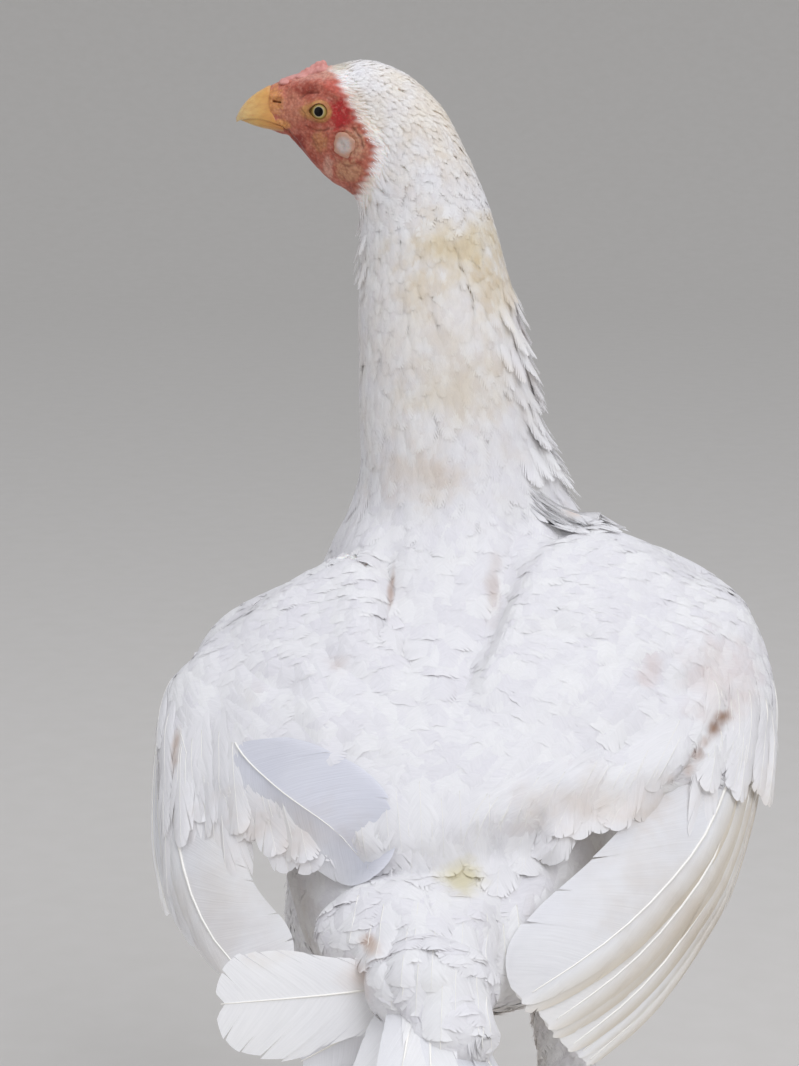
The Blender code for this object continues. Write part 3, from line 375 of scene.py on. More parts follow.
def newMesh(name, points, quads, tris, looks, lookOf=None):
    # A mesh from millimetre points, moved to its place on the solids.
    quads = np.asarray(quads, np.int32).reshape(-1, 4)
    tris = np.asarray(tris, np.int32).reshape(-1, 3)
    mesh = bpy.data.meshes.new(name)
    mesh.vertices.add(len(points))
    writePoints(mesh, points)
    corners = np.concatenate([quads.ravel(), tris.ravel()]).astype(np.int32)
    counts = np.concatenate([np.full(len(quads), 4), np.full(len(tris), 3)]).astype(np.int32)
    mesh.loops.add(len(corners))
    mesh.loops.foreach_set("vertex_index", corners)
    mesh.polygons.add(len(counts))
    mesh.polygons.foreach_set("loop_start", np.concatenate([[0], np.cumsum(counts)[:-1]]).astype(np.int32))
    for look in looks:
        mesh.materials.append(look)
    if lookOf is not None:
        mesh.polygons.foreach_set("material_index", np.asarray(lookOf, np.int32))
    mesh.update(calc_edges=True)
    mesh.shade_smooth()
    return mesh


def cornersOf(mesh):
    corners = np.zeros(len(mesh.loops), np.int32)
    mesh.loops.foreach_get("vertex_index", corners)
    return corners


def readMesh(mesh):  # points in drawn millimetres, and normals
    points, normals = np.zeros((2, len(mesh.vertices) * 3), np.float32)
    mesh.vertices.foreach_get("co", points)
    mesh.vertices.foreach_get("normal", normals)
    return points.reshape(-1, 3).astype(float) / mm - shift, normals.reshape(-1, 3).astype(float)


def writePoints(mesh, points):
    mesh.vertices.foreach_set("co", ((np.asarray(points) + shift) * mm).astype(np.float32).ravel())


def addMap(mesh, name, places):
    layer = mesh.uv_layers.new(name=name)
    layer.data.foreach_set("uv", np.asarray(places, np.float32)[cornersOf(mesh)].ravel())


def addValue(mesh, name, values):
    mesh.attributes.new(name, "FLOAT", "POINT").data.foreach_set("value", np.asarray(values, np.float32))


def addPiece(name, mesh, slot, *nodes):
    piece = bpy.data.objects.new(name, mesh)
    bpy.context.scene.collection.objects.link(piece)
    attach(piece, "root")
    if nodes:
        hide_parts(*nodes)
    return piece


def closedGrid(grid):
    # Points, quads and triangles of a tube through rows of points, closed at both ends.
    rows, around = grid.shape[:2]
    index = np.arange(rows * around).reshape(rows, around)
    turned = np.roll(index, -1, axis=1)
    quads = np.stack([index[:-1], turned[:-1], turned[1:], index[1:]], -1).reshape(-1, 4)
    first, last = rows * around, rows * around + 1
    tris = np.concatenate([
        np.stack([turned[0], index[0], np.full(around, first)], -1),
        np.stack([index[-1], turned[-1], np.full(around, last)], -1),
    ])
    points = np.concatenate([grid.reshape(-1, 3), [grid[0].mean(0)], [grid[-1].mean(0)]])
    return points, quads, tris


def gather(parts):
    # Joins (points, quads, tris) parts into one.
    points, quads, tris, offset = [], [], [], 0
    for p, q, t in parts:
        points.append(p)
        quads.append(np.asarray(q, int).reshape(-1, 4) + offset)
        tris.append(np.asarray(t, int).reshape(-1, 3) + offset)
        offset += len(p)
    return np.concatenate(points), np.concatenate(quads), np.concatenate(tris)


def throughRows(rows, count):
    # A smooth run of count rows through a few drawn ones.
    rows = np.asarray(rows, float)
    t = np.linspace(0, len(rows) - 1, count)
    i = np.clip(t.astype(int), 0, len(rows) - 2)
    f = (t - i)[:, None]
    before, here = rows[np.maximum(i - 1, 0)], rows[i]
    there, after = rows[i + 1], rows[np.minimum(i + 2, len(rows) - 1)]
    return 0.5 * (2 * here + (there - before) * f + (2 * before - 5 * here + 4 * there - after) * f ** 2
                  + (3 * here - before - 3 * there + after) * f ** 3)


def fullTurn(around, start=0.0):  # angles round a ring, as one row
    return np.linspace(start, start + 2 * math.pi, around, endpoint=False)[None]


def ballGrid(centre, radii, rows, around, axes=None):
    angle = np.linspace(0, math.pi, rows + 2)[1:-1, None]
    turn = fullTurn(around)
    shape = np.stack([np.sin(angle) * np.cos(turn), np.sin(angle) * np.sin(turn), np.cos(angle) + 0 * turn],
                     -1) * radii
    return np.asarray(centre, float) + shape @ (np.eye(3) if axes is None else axes)


# The bird's outer form, over the feathers

bodyForm = {
    "backSlope": math.radians(41), "start": -315, "middle": 0.46, "fullness": 0.92,
    # distance along the back, height of the back, height of the belly, half width
    "torso": (
        (-34, 232, 176, 26), (-25, 248, 156, 44), (-8, 260, 138, 58), (16, 267, 124, 68),
        (50, 270, 112, 76), (95, 270, 108, 80), (140, 269, 108, 80), (180, 268, 119, 76),
        (213, 267, 142, 67), (238, 266, 174, 54), (256, 263, 212, 40), (268, 256, 234, 22),
    ),
    # nape x and z, throat x and z, half depth, forward, how much narrower the throat is
    "neck": (
        (-50, 300, 52, 300, 34, -90, 0), (-71, 338, 73, 338, 48, -86, 0), (-66, 361, 69, 360, 51, -84, 0),
        (-54, 382, 58, 381, 49, -84, 0), (-44.5, 402, 52.5, 401, 44.5, -86, 0),
        (-36, 424, 52, 423, 41, -88, 0), (-31, 450, 52.5, 449, 38.5, -91, 0),
        (-25, 476, 53, 475, 36, -94, 0), (-19, 500, 52.5, 499, 33, -97, 0),
        (-9.5, 531, 53, 523, 29.5, -100, 0), (1.5, 556.5, 55, 533.5, 26.5, -100, 0.03),
        (14, 579, 59, 537.5, 24, -100, 0.08), (30.5, 593, 66, 541.5, 22.5, -100, 0.14),
        (47.5, 599.5, 74, 549, 20.5, -100, 0.2), (62, 598, 80, 556, 18.5, -100, 0.22),
        (73, 594, 84.5, 561, 16, -100, 0.2), (82, 592, 87, 563.5, 13, -100, 0.12),
        (89.5, 589.6, 90.5, 564.3, 10.4, -100, 0.05), (95, 587.2, 95, 566, 8.5, -100, 0),
    ),
    # x, y, z, half width, half depth
    "thigh": (
        (48, -36, 256, 26, 44), (52, -32, 230, 29, 49), (56, -18, 200, 28, 42),
        (56, 0, 168, 22, 29), (53, 15, 144, 14.5, 18), (51.5, 21, 132, 11, 13),
    ),
    "rump": (((13, 112, 240), (42, 30, 25)), ((3, 143, 231), (29, 25, 21)), ((-5, 164, 217), (19, 18, 17))),
}
backAlong = np.array([0, math.cos(bodyForm["backSlope"]), -math.sin(bodyForm["backSlope"])])
backOut = np.array([0, math.sin(bodyForm["backSlope"]), math.cos(bodyForm["backSlope"])])


def torsoGrid(count, around):
    rows = throughRows(bodyForm["torso"], count)
    along = backAlong * (bodyForm["start"] + rows[:, :1])
    top, bottom = along + backOut * rows[:, 1:2], along + backOut * rows[:, 2:3]
    middle = top + (bottom - top) * bodyForm["middle"]
    turn = fullTurn(around)[..., None]
    reach = np.where(np.cos(turn) > 0, (top - middle)[:, None], (middle - bottom)[:, None])
    across = np.sign(np.sin(turn)) * np.abs(np.sin(turn)) ** bodyForm["fullness"]
    return middle[:, None] + reach * np.cos(turn) + np.array([1.0, 0, 0]) * rows[:, None, 3:4] * across


def neckGrid(count, around):
    rows = throughRows(bodyForm["neck"], count)
    nape, throat = rows[:, [0, 5, 1]], rows[:, [2, 5, 3]]
    turn = fullTurn(around)
    points = ((nape + throat) / 2)[:, None] + ((nape - throat) / 2)[:, None] * np.cos(turn)[..., None]
    points[..., 1] += rows[:, 4:5] * np.sin(turn) * (1 - rows[:, 6:7] * (1 - np.cos(turn)) / 2)
    return points


def thighGrid(side, count, around):
    rows = throughRows(bodyForm["thigh"], count)
    turn = fullTurn(around)
    points = np.repeat(rows[:, None, :3], around, 1) * (side, 1, 1)
    points[..., 0] += rows[:, 3:4] * np.cos(turn)
    points[..., 1] += rows[:, 4:5] * np.sin(turn)
    return points


# the feathered arm of both wings: how full it is from the spine outwards, and its rows as share of the way
# down, height of the outer and of the inner face
armFull = (0.45, 0.8, 1, 1, 0.9, 0.4)
armRows = ((0, -6, -6), (0.10, 3, -15), (0.32, 6.5, -16), (0.60, 6.5, -13), (0.88, 5, -10), (0.97, 1.5, -7),
           (1, -3, -5))
wingForm = {
    "ridgeTop": 395, "ridgeStart": -45, "slope": 1.54, "bend": 0.00304, "depth": 115,
    "width": {"left": 143, "right": 158}, "start": {"left": 17, "right": -20},
    "pad": {  # cape, then top and bottom edge of the feathered arm, from the spine outwards, x and z
        "left": ("left", ((32, 372, 16, 300), (52, 380, 26, 274), (76, 370, 50, 268),
                          (102, 353, 80, 271), (125, 332, 108, 276), (138, 306, 134, 284))),
        "right": ("right", ((33, 377, 2, 300), (54, 389, 14, 279), (80, 386, 44, 281),
                            (110, 370, 78, 284), (136, 354, 112, 293), (150, 326, 143, 304))),
        "middle": ("left", ((-44, 340, -38, 281), (-22, 340, -17, 275), (0, 340, 0, 270),
                            (22, 342, 20, 267), (46, 342, 42, 269))),
    },
    "padFull": {"left": armFull, "right": armFull, "middle": (0.7, 1, 1, 1, 0.7)},
    "padRows": {
        "left": armRows, "right": armRows,
        "middle": ((0, -8, -8), (0.18, 0, -14), (0.45, 4.5, -15), (0.75, 6.5, -14), (0.92, 5, -11),
                   (0.98, 1, -8), (1, -4, -6)),
    },
    # wrist and hand: x, z, height, half width, half thickness
    "hand": {
        "left": (9, ((108, 332, -4, 14, 8), (118, 318, -2, 15, 9), (122, 303, 0, 14, 7),
                     (124, 288, 0, 12, 4.5), (124, 275, 0, 8, 2))),
        "right": (0, ((118, 340, -3, 14, 8), (128, 326, -2, 15, 9), (132, 311, -1, 13.5, 7),
                      (130, 298, -1, 11, 4.5), (126, 286, -1, 7, 2))),
    },
    "muscle": {"left": (74, -36, 339), "right": (-88, -56, 354)}, "muscleRadii": (56, 26, 20),
    "muscleSlope": 23,
}


def onCape(name, x, z, lift=0.0, spread=0.0):
    # The surface a wing lies on, for arrays of x outwards and z up. Returns points, their outward and down
    # directions and their normals.
    x, z, lift = np.broadcast_arrays(np.asarray(x, float), np.asarray(z, float), np.asarray(lift, float))
    side, width = sides[name], wingForm["width"][name] + spread
    turn = np.arcsin(np.clip(x / width, -0.99, 0.999))
    drop = wingForm["ridgeTop"] - z
    ridge = wingForm["ridgeStart"] + wingForm["slope"] * drop - wingForm["bend"] * drop * drop
    point = np.stack([side * width * np.sin(turn), ridge - wingForm["depth"] * (1 - np.cos(turn)), z], -1)
    outwards = np.stack([side * width * np.cos(turn), -wingForm["depth"] * np.sin(turn), 0 * z], -1)
    climb = np.stack([0 * z, 2 * wingForm["bend"] * drop - wingForm["slope"], 1 + 0 * z], -1)
    normal = unit(np.cross(outwards, climb)) * -side
    return point + normal * lift[..., None], outwards / (width * np.cos(turn))[..., None], climb, normal


def padGrid(name, count):
    cape, edges = wingForm["pad"][name]
    rows = throughRows(np.column_stack([edges, wingForm["padFull"][name]]), count)
    drawn = wingForm["padRows"][name]
    ring = np.array(list(drawn) + [(s, i, o) for s, o, i in reversed(drawn[1:-1])], float)[None]
    x = rows[:, 0:1] + (rows[:, 2:3] - rows[:, 0:1]) * ring[..., 0]
    z = rows[:, 1:2] + (rows[:, 3:4] - rows[:, 1:2]) * ring[..., 0]
    middle = (ring[..., 1] + ring[..., 2]) / 2
    lift = middle + (ring[..., 1] - middle) * rows[:, 4:5]
    return onCape(cape, x, z, lift)[0]


def handGrid(name, count, around):
    spread, drawn = wingForm["hand"][name]
    rows = throughRows(drawn, count)
    turn = fullTurn(around)
    x = rows[:, 0:1] + rows[:, 3:4] * np.cos(turn)
    lift = rows[:, 2:3] + rows[:, 4:5] * np.sin(turn)
    return onCape(name, x, rows[:, 1:2], lift, spread)[0]


def fused(parts, voxel, smoothing):  # one smooth closed surface round all the parts
    mesh = newMesh("form", *gather(parts), [])
    work = bmesh.new()
    work.from_mesh(mesh)
    bmesh.ops.recalc_face_normals(work, faces=work.faces)
    work.to_mesh(mesh)
    work.free()
    piece = bpy.data.objects.new("form", mesh)
    bpy.context.scene.collection.objects.link(piece)
    remesh = piece.modifiers.new("remesh", "REMESH")
    remesh.mode = "VOXEL"
    remesh.voxel_size = voxel * mm
    smooth = piece.modifiers.new("smooth", "SMOOTH")
    smooth.factor, smooth.iterations = 0.5, smoothing
    made = bpy.data.meshes.new_from_object(piece.evaluated_get(bpy.context.evaluated_depsgraph_get()))
    bpy.data.objects.remove(piece)
    return made


def bodyParts():
    parts = [closedGrid(torsoGrid(90, 80)), closedGrid(neckGrid(150, 80))]
    for name, side in sides.items():
        slope = math.radians(wingForm["muscleSlope"]) * side
        axes = np.array([[math.cos(slope), 0, -math.sin(slope)], [0, 1, 0],
                         [math.sin(slope), 0, math.cos(slope)]])
        parts.append(closedGrid(thighGrid(side, 40, 48)))
        parts.append(closedGrid(padGrid(name, 40)))
        parts.append(closedGrid(handGrid(name, 40, 36)))
        parts.append(closedGrid(ballGrid(wingForm["muscle"][name], wingForm["muscleRadii"], 16, 32, axes)))
    parts.append(closedGrid(padGrid("middle", 30)))
    for centre, radii in bodyForm["rump"]:
        parts.append(closedGrid(ballGrid(centre, radii, 16, 32)))
    return parts


def awayFrom(x, z, track):  # distance from a run of straight pieces, for arrays of x and z
    best = np.full(x.shape, 1e9)
    for (ax, az), (bx, bz) in zip(track, track[1:]):
        dx, dz = bx - ax, bz - az
        t = np.clip(((x - ax) * dx + (z - az) * dz) / (dx * dx + dz * dz), 0, 1)
        best = np.minimum(best, np.hypot(x - ax - dx * t, z - az - dz * t))
    return best


# Lie of the plumage over the body: lumps, and furrows and swells on the side of the back, as x and z in mm
plumpness = {
    "lumps": ((34, 1.7, 3), (15, 0.8, 9)),  # size, height, seed
    # height, half width, track
    "swells": (
        (-4.6, 3.2, ((31, 371), (31, 360), (31, 348))),                 # short slit left of the spine
        (2.0, 9.0, ((45, 372), (45, 360), (45, 348))),
        (-3.4, 2.6, ((-122, 315), (-112, 306), (-98, 290))),            # slit between right arm and hand
        # furrows in the rump
        (-3.2, 2.6, ((20, 256), (17, 231), (14, 222))), (-2.6, 2.6, ((5, 238), (3, 219), (6, 208))),
        (-2.8, 2.4, ((-10, 227), (-11, 200))), (-2.4, 2.6, ((-23, 253), (-26, 233))),
        (-1.8, 2.4, ((-4, 262), (-7, 245), (-14, 236))),
        # soft groove at the right of the spine
        (-3.0, 5.5, ((-26, 386), (-19, 365), (-11, 345), (-4, 326))),
        (2.0, 8.0, ((-40, 380), (-34, 362), (-26, 344))),
        # the back's middle runs on over the rump
        (3.0, 8.0, ((-14, 334), (0, 329), (14, 334))),
        (-2.6, 4.5, ((48, 309), (40, 292), (30, 282))),                 # furrow beside the cool feather
        (1.6, 7.0, ((58, 318), (46, 300), (34, 286))),
        (-1.6, 3.5, ((92, 330), (80, 326), (72, 328))), (-1.8, 3.5, ((58, 340), (45, 334), (36, 330))),
        (-1.8, 3.5, ((-84, 338), (-98, 326), (-112, 330))), (1.4, 7.0, ((-84, 346), (-98, 336), (-110, 340))),
        (-1.6, 3.5, ((-52, 318), (-66, 306), (-80, 312))), (-1.4, 3.5, ((-30, 346), (-44, 352), (-58, 348))),
        (1.5, 9.0, ((-30, 300), (-64, 296), (-98, 302))),
    ),
}


def plump(mesh):
    points, normals = readMesh(mesh)
    height = np.zeros(len(points))
    for size, tall, seed in plumpness["lumps"]:
        height += tall * np.array([noise.noise(Vector(p) / size + Vector((seed, 0, 0))) for p in points])
    height *= 1 - 0.65 * ease(395, 430, points[:, 2])
    back = ease(0.0, 0.4, normals[:, 1] + 0.6 * normals[:, 2]) * (points[:, 1] > -75)
    for tall, wide, track in plumpness["swells"]:
        height += back * tall * 1.3 * np.exp(-(awayFrom(points[:, 0], points[:, 2], track) / wide) ** 2)
    height *= ease(2, -12, bareAt(points))
    points += normals * height[:, None]
    writePoints(mesh, points)
    mesh.update()
    return points


# Side view line between bare face and feathers, x and z
faceLine = np.array([(68, 606), (67, 597), (62, 590.5), (57.5, 583), (54, 576), (48.5, 567.5), (43.5, 558),
                     (46, 548.5), (52, 539), (57, 530)], float)


def bareAt(points):  # how far a place lies ahead of the feather line, in mm; negative under the feathers
    line = np.interp(points[:, 2], faceLine[::-1, 1], faceLine[::-1, 0])
    ahead = points[:, 0] - line + 0.8 * np.sin(points[:, 2] * 1.9) + 0.7 * np.sin(points[:, 2] * 0.83 + 1.3)
    return np.where(points[:, 2] < 524, -50.0, ahead)


formMesh = fused(bodyParts(), 2.0, 13)
formPoints = plump(formMesh)
formFaces = np.array([tuple(p.vertices) for p in formMesh.polygons])
surface = BVHTree.FromPolygons([Vector(p) for p in formPoints], [tuple(f) for f in formFaces.tolist()])
print("form fused:", len(formPoints), "points")

# The lie of the coat: samples of each form with the way its feathers point

def gridSamples(grid, way, form):
    # Each grid point with the direction along its rows, its share along and around, and the form's number.
    along = np.gradient(grid, axis=0) * way
    shareAlong, shareAround = np.meshgrid(np.linspace(0, 1, grid.shape[0]), np.linspace(0, 1, grid.shape[1]),
                                          indexing="ij")
    flat = lambda a: a.reshape(-1, a.shape[-1])
    extra = np.stack([shareAlong, shareAround, np.full_like(shareAlong, form)], -1)
    return np.concatenate([flat(grid), unit(flat(along)), flat(extra)], 1)


def wingSamples(name, form):
    x, z = np.meshgrid(np.linspace(wingForm["start"][name], wingForm["width"][name] - 4, 70),
                       np.linspace(250, 392, 54), indexing="ij")
    point, outwards, climb, _ = onCape(name, x, z, 5)
    # tips point down, and inwards at the lower rim
    inwards = -0.15 - 1.15 * ease(365, 290, z) * ease(138, 112, x)
    down = unit(outwards * inwards[..., None] - unit(climb))
    extra = np.stack([x / wingForm["width"][name], (z - 250) / 142, np.full_like(x, form)], -1)
    inV = (x < 34 - (378 - z) * 0.33) & (z > 318)  # the back shows between the arms
    return np.concatenate([point, down, extra], -1)[~inV]


forms = {"neck": 0, "torso": 1, "thigh": 2, "left": 3, "right": 4, "tail": 5}
samples = [gridSamples(neckGrid(190, 90), -1, forms["neck"]),
           gridSamples(torsoGrid(90, 110), 1, forms["torso"])]
samples += [gridSamples(thighGrid(side, 50, 60), 1, forms["thigh"]) for side in sides.values()]
samples += [wingSamples(name, forms[name]) for name in sides]
for centre, radii in bodyForm["rump"]:
    rump = gridSamples(ballGrid(centre, radii, 24, 48), 1, forms["tail"])
    rump[:, 3:6] = unit(np.array([0.0, 0.62, -0.78]) + (rump[:, :3] - centre) / radii * (0.55, 0.1, 0.1))
    samples.append(rump)
samples = np.concatenate(samples)
samples = samples[[surface.find_nearest(Vector(s[:3]))[3] < 6 for s in samples]]  # those at the surface
lie = KDTree(len(samples))
for i, s in enumerate(samples):
    lie.insert(s[:3], i)
lie.balance()
print("lie of the coat:", len(samples), "samples")


# Depth of the coat on the body, how much less it is on neck and head, on the hand, and how much more on
# the arm
depths = {"body": 4.4, "neck": 1.4, "head": 1.6, "hand": 1.6, "arm": 2.8}


def coatDepth(points):  # how deep the skin lies under the outer form
    neck, head = ease(400, 480, points[:, 2]), ease(510, 560, points[:, 2])
    depth = depths["body"] - depths["neck"] * neck - depths["head"] * head
    onWing = np.array([samples[lie.find(p)[1], 8] in (forms["left"], forms["right"]) for p in points])
    depth = np.where(onWing, depths["hand"] + depths["arm"] * ease(335, 362, points[:, 2]), depth)
    return depth * ease(2, -7, bareAt(points))


# Where feathers are rooted

triesForEach = 4.5  # darts thrown for each root that could fit


def rootsOn(points, faces, spacing, keep, seed):
    # Scattered roots, no nearer to each other than their spacing.
    draw = np.random.default_rng(seed)
    a, b, c, d = (points[faces[:, k]] for k in range(4))
    middle = (a + b + c + d) / 4
    use = keep(middle)
    a, b, c, d, middle = a[use], b[use], c[use], d[use], middle[use]
    area = np.linalg.norm(np.cross(c - a, d - b), axis=1) / 2
    gap = spacing(middle)
    weight = area / gap ** 2
    count = int(weight.sum() * triesForEach)
    pick = draw.choice(len(middle), count, p=weight / weight.sum())
    s, t = draw.random((2, count, 1))
    spots = (a[pick] * (1 - s) + b[pick] * s) * (1 - t) + (d[pick] * (1 - s) + c[pick] * s) * t
    gap = spacing(spots)
    near = KDTree(count)
    for i, p in enumerate(spots):
        near.insert(p, i)
    near.balance()
    alive = np.ones(count, bool)
    for i in range(count):
        if alive[i]:
            for _, j, _ in near.find_range(spots[i], gap[i]):
                if j != i:
                    alive[j] = False
    return spots[alive]


def vane(barbs, across, split, gap, outline=(1.2, 0.6), reach=(0.30, 0.45), start=0.04, bundle=1, ragged=0.1,
         curl=0.0, seed=1, shape=None):
    # A feather's vane in its own coordinates: s from root to tip, x across in half widths.
    # Barbs run from the shaft to the edge in bundles, which part from split outwards.
    draw = np.random.default_rng(seed)
    places, offsets, threads, quads, tris = [], [], [], [], []

    def point(b, q, side, stretch):
        root = start + (0.93 - start) * b
        far = root + (1 - root) * (reach[0] + reach[1] * b)
        plain = max(0.0, math.sin(math.pi * (0.16 + 0.84 * b) ** outline[0])) ** outline[1]
        wide = shape(b, side) if shape else plain
        q *= stretch
        places.append((root + (far - root) * q ** 1.15, side * wide * q))
        threads.append((b, q))
        return len(places) - 1

    for side in (-1, 1):
        ends, j = [0], 0
        while j < barbs:
            j = min(barbs, j + (bundle if bundle == 1
                                else int(draw.integers(max(1, bundle // 2), bundle * 2))))
            ends.append(j)
        shaft = [point(k / barbs, 0, side, 1) for k in range(barbs + 1)]
        offsets += [0.0] * len(shaft)
        for first, last in zip(ends, ends[1:]):
            opens = split * draw.uniform(0.85, 1.1) if bundle == 1 else draw.uniform(split, 1.0)
            stretch = 1 + draw.uniform(-ragged, ragged)
            bend = draw.normal(0, curl)
            lines = []
            for k in range(first, last + 1):
                line = [shaft[k]]
                for q in across[1:]:
                    part = max(0.0, q - opens) / max(1e-6, 1 - opens) * gap
                    nudge = part if k == first else -part if k == last else 0.0
                    line.append(point((k + nudge) / barbs, q, side, stretch if q == across[-1] else 1))
                    offsets.append(bend * q * q)
                lines.append(line)
            for near, far in zip(lines, lines[1:]):
                for m in range(len(across) - 1):
                    a, b, c, d = near[m], near[m + 1], far[m + 1], far[m]
                    if last - first == 1 and gap >= 0.5 and m == len(across) - 2:
                        tris.append((a, b, d) if side > 0 else (a, d, b))
                    else:
                        quads.append((a, b, c, d) if side > 0 else (a, d, c, b))
    used = sorted({k for face in quads + tris for k in face})
    new = {k: i for i, k in enumerate(used)}
    renumber = lambda faces: [tuple(new[k] for k in face) for face in faces]
    return {"s": np.array([places[k][0] for k in used]), "x": np.array([places[k][1] for k in used]),
            "offset": np.array([offsets[k] for k in used]), "thread": np.array([threads[k] for k in used]),
            "quads": np.array(renumber(quads)).reshape(-1, 4),
            "tris": np.array(renumber(tris)).reshape(-1, 3)}


def stationShares(s, count):
    # How much each of count stations weighs at s, on a smooth curve through them.
    shares = np.zeros((len(s), count))
    t = np.clip(s, 0, 1) * (count - 1)
    i = np.clip(t.astype(int), 0, count - 2)
    f = t - i
    rows = np.arange(len(s))
    for k, w in ((-1, -f + 2 * f ** 2 - f ** 3), (0, 2 - 5 * f ** 2 + 3 * f ** 3),
                 (1, f + 4 * f ** 2 - 3 * f ** 3), (2, f ** 3 - f ** 2)):
        np.add.at(shares, (rows, np.clip(i + k, 0, count - 1)), w / 2)
    return shares


patchSize = 0.003  # each feather has a patch of the map this large, at its root's place


def dressed(name, grid, normals, lengths, roots, templates, tints, look, slot, nodes=(), shaft=None,
            arch=None):
    # One piece of many feathers. grid is feathers x stations x 3 lanes x 3, templates are drawn in turn.
    # With an arch, each half of a vane is laid straight from the shaft to its edge and raised by it
    # between them.
    points, quads, tris, bake, thread, tint = [], [], [], [], [], []
    tints = np.broadcast_to(np.reshape(tints, (len(grid), -1)), (len(grid), 3))  # over a feather's width
    offset = 0
    for k, template in enumerate(templates):
        mine = np.arange(k, len(grid), len(templates))
        if not len(mine):
            continue
        s, x = template["s"], template["x"]
        along = stationShares(s, grid.shape[1])
        lanes = np.stack([x * (x - 1) / 2, 1 - x * x, x * (x + 1) / 2], -1)
        raised = template["offset"]
        if arch is not None:
            lanes = np.stack([np.maximum(-x, 0), 1 - np.abs(x), np.maximum(x, 0)], -1)
            raised = raised + arch * 4 * (np.abs(x) - x * x)
        spots = np.einsum("vs,vl,nslc->nvc", along, lanes, grid[mine])
        spots += np.einsum("vs,nsc->nvc", along, normals[mine]) * raised[None, :, None]
        count = len(s)
        starts = offset + np.arange(len(mine))[:, None, None] * count
        points.append(spots.reshape(-1, 3))
        quads.append((template["quads"][None] + starts).reshape(-1, 4))
        tris.append((template["tris"][None] + starts).reshape(-1, 3))
        patch = np.stack([x * 0.5, s - 0.5], -1) * patchSize
        bake.append((roots[mine][:, None] + patch[None]).reshape(-1, 2))
        barbs = np.empty((len(mine), count, 2))
        barbs[..., 0] = template["thread"][:, 0] * lengths[mine][:, None] * 0.1 + mine[:, None] * 0.37
        barbs[..., 1] = template["thread"][:, 1] * 1.0
        thread.append(barbs.reshape(-1, 2))
        tint.append(np.einsum("nl,vl->nv", tints[mine], lanes).ravel())
        offset += len(mine) * count
    if shaft:
        base, tip, lift = shaft["base"], shaft["tip"], shaft.get("lift", 0.25)
        s = np.linspace(shaft.get("from", -0.0), shaft.get("to", 0.95), 14)
        along = stationShares(s, grid.shape[1])
        spine = np.einsum("vs,nsc->nvc", along, grid[:, :, 1])
        face = unit(np.einsum("vs,nsc->nvc", along, normals))
        run = unit(np.gradient(spine, axis=1))
        beside = np.cross(run, face)
        thick = (base + (tip - base) * s)[None, :, None] * (lengths / lengths.max())[:, None, None] ** 0.5
        ring = []
        for turn in (0.25, 0.75, 1.25, 1.75):
            away = beside * math.cos(turn * math.pi) + face * (math.sin(turn * math.pi) + lift)
            ring.append(spine + away * thick)
        ring = np.stack(ring, 2)  # feathers x stations x 4 x 3
        count = ring.shape[1] * 4
        index = np.arange(count).reshape(-1, 4)
        turned = np.roll(index, -1, 1)
        face4 = np.stack([index[:-1], index[1:], turned[1:], turned[:-1]], -1).reshape(-1, 4)
        ends = np.array([index[0][::-1], index[-1]])
        face4 = np.concatenate([face4, ends])
        starts = offset + np.arange(len(grid))[:, None, None] * count
        points.append(ring.reshape(-1, 3))
        shaftQuads = (face4[None] + starts).reshape(-1, 4)
        shaftPatch = (np.stack([0 * s, s - 0.5], -1) * patchSize).repeat(4, 0)
        bake.append((roots[:, None] + shaftPatch[None]).reshape(-1, 2))
        thread.append(np.zeros((len(grid) * count, 2)))
        tint.append(np.repeat(tints[:, 1], count))
    allQuads = np.concatenate(quads + ([shaftQuads] if shaft else []))
    allTris = np.concatenate(tris)
    lookOf = np.zeros(len(allQuads) + len(allTris), int)
    if shaft:
        lookOf[len(allQuads) - len(shaftQuads):len(allQuads)] = 1
    mesh = newMesh(name, np.concatenate(points), allQuads, allTris, [look, ivoryShaft] if shaft else [look],
                   lookOf)
    addMap(mesh, "OFBake", np.concatenate(bake))
    addMap(mesh, "barbs", np.concatenate(thread))
    addValue(mesh, "tint", np.concatenate(tint))
    piece = addPiece(name, mesh, slot, *nodes)
    print(name, len(grid), "feathers,", len(allQuads) * 2 + len(allTris), "triangles")
    return piece


def followForm(spots, heading, length, half, heights, camber, stations=5):
    # The middle and both edges of each feather, laid along the form at the given heights over it.
    count = len(spots)
    grid = np.zeros((count, stations, 3, 3))
    normals = np.zeros((count, stations, 3))
    for n in range(count):
        spot, way = Vector(spots[n]), Vector(heading[n])
        step, wide, drop = length[n] / (stations - 1), half[n], camber[n]
        hit, out, _, _ = surface.find_nearest(spot)
        for k in range(stations):
            if k:
                hit, out, _, _ = surface.find_nearest(spot + way * step)
                way = way * 0.35 + (hit - spot) / max(step, 1e-6) * 0.65
                spot = hit
            way = (way - out * way.dot(out)).normalized()
            across = way.cross(out)
            high = heights[n, k]
            normals[n, k] = out
            grid[n, k, 1] = spot + out * high
            for lane, side in ((0, -1), (2, 1)):
                edge, edgeOut, _, _ = surface.find_nearest(spot + across * (side * wide))
                grid[n, k, lane] = edge + edgeOut * (high - drop)
    return grid, normals


neighbours = 14  # samples that a feather's heading is drawn from


def lieAt(spots):
    # The way feathers point, and the share along and around and the number of the nearest form.
    ways, extras = np.zeros((len(spots), 3)), np.zeros((len(spots), 3))
    for n, spot in enumerate(spots):
        total = Vector((0, 0, 0))
        found = lie.find_n(spot, neighbours)
        for _, index, distance in found:
            total += Vector(samples[index, 3:6]) / (distance + 2.0)
        ways[n] = total
        extras[n] = samples[found[0][1], 6:9]
    return unit(ways), extras


def clump(spots, size, seed):  # smooth chance from -1 to 1, by place
    return np.array([noise.noise(Vector(p) / size + Vector((seed, 0, 0))) * 1.6 for p in spots])


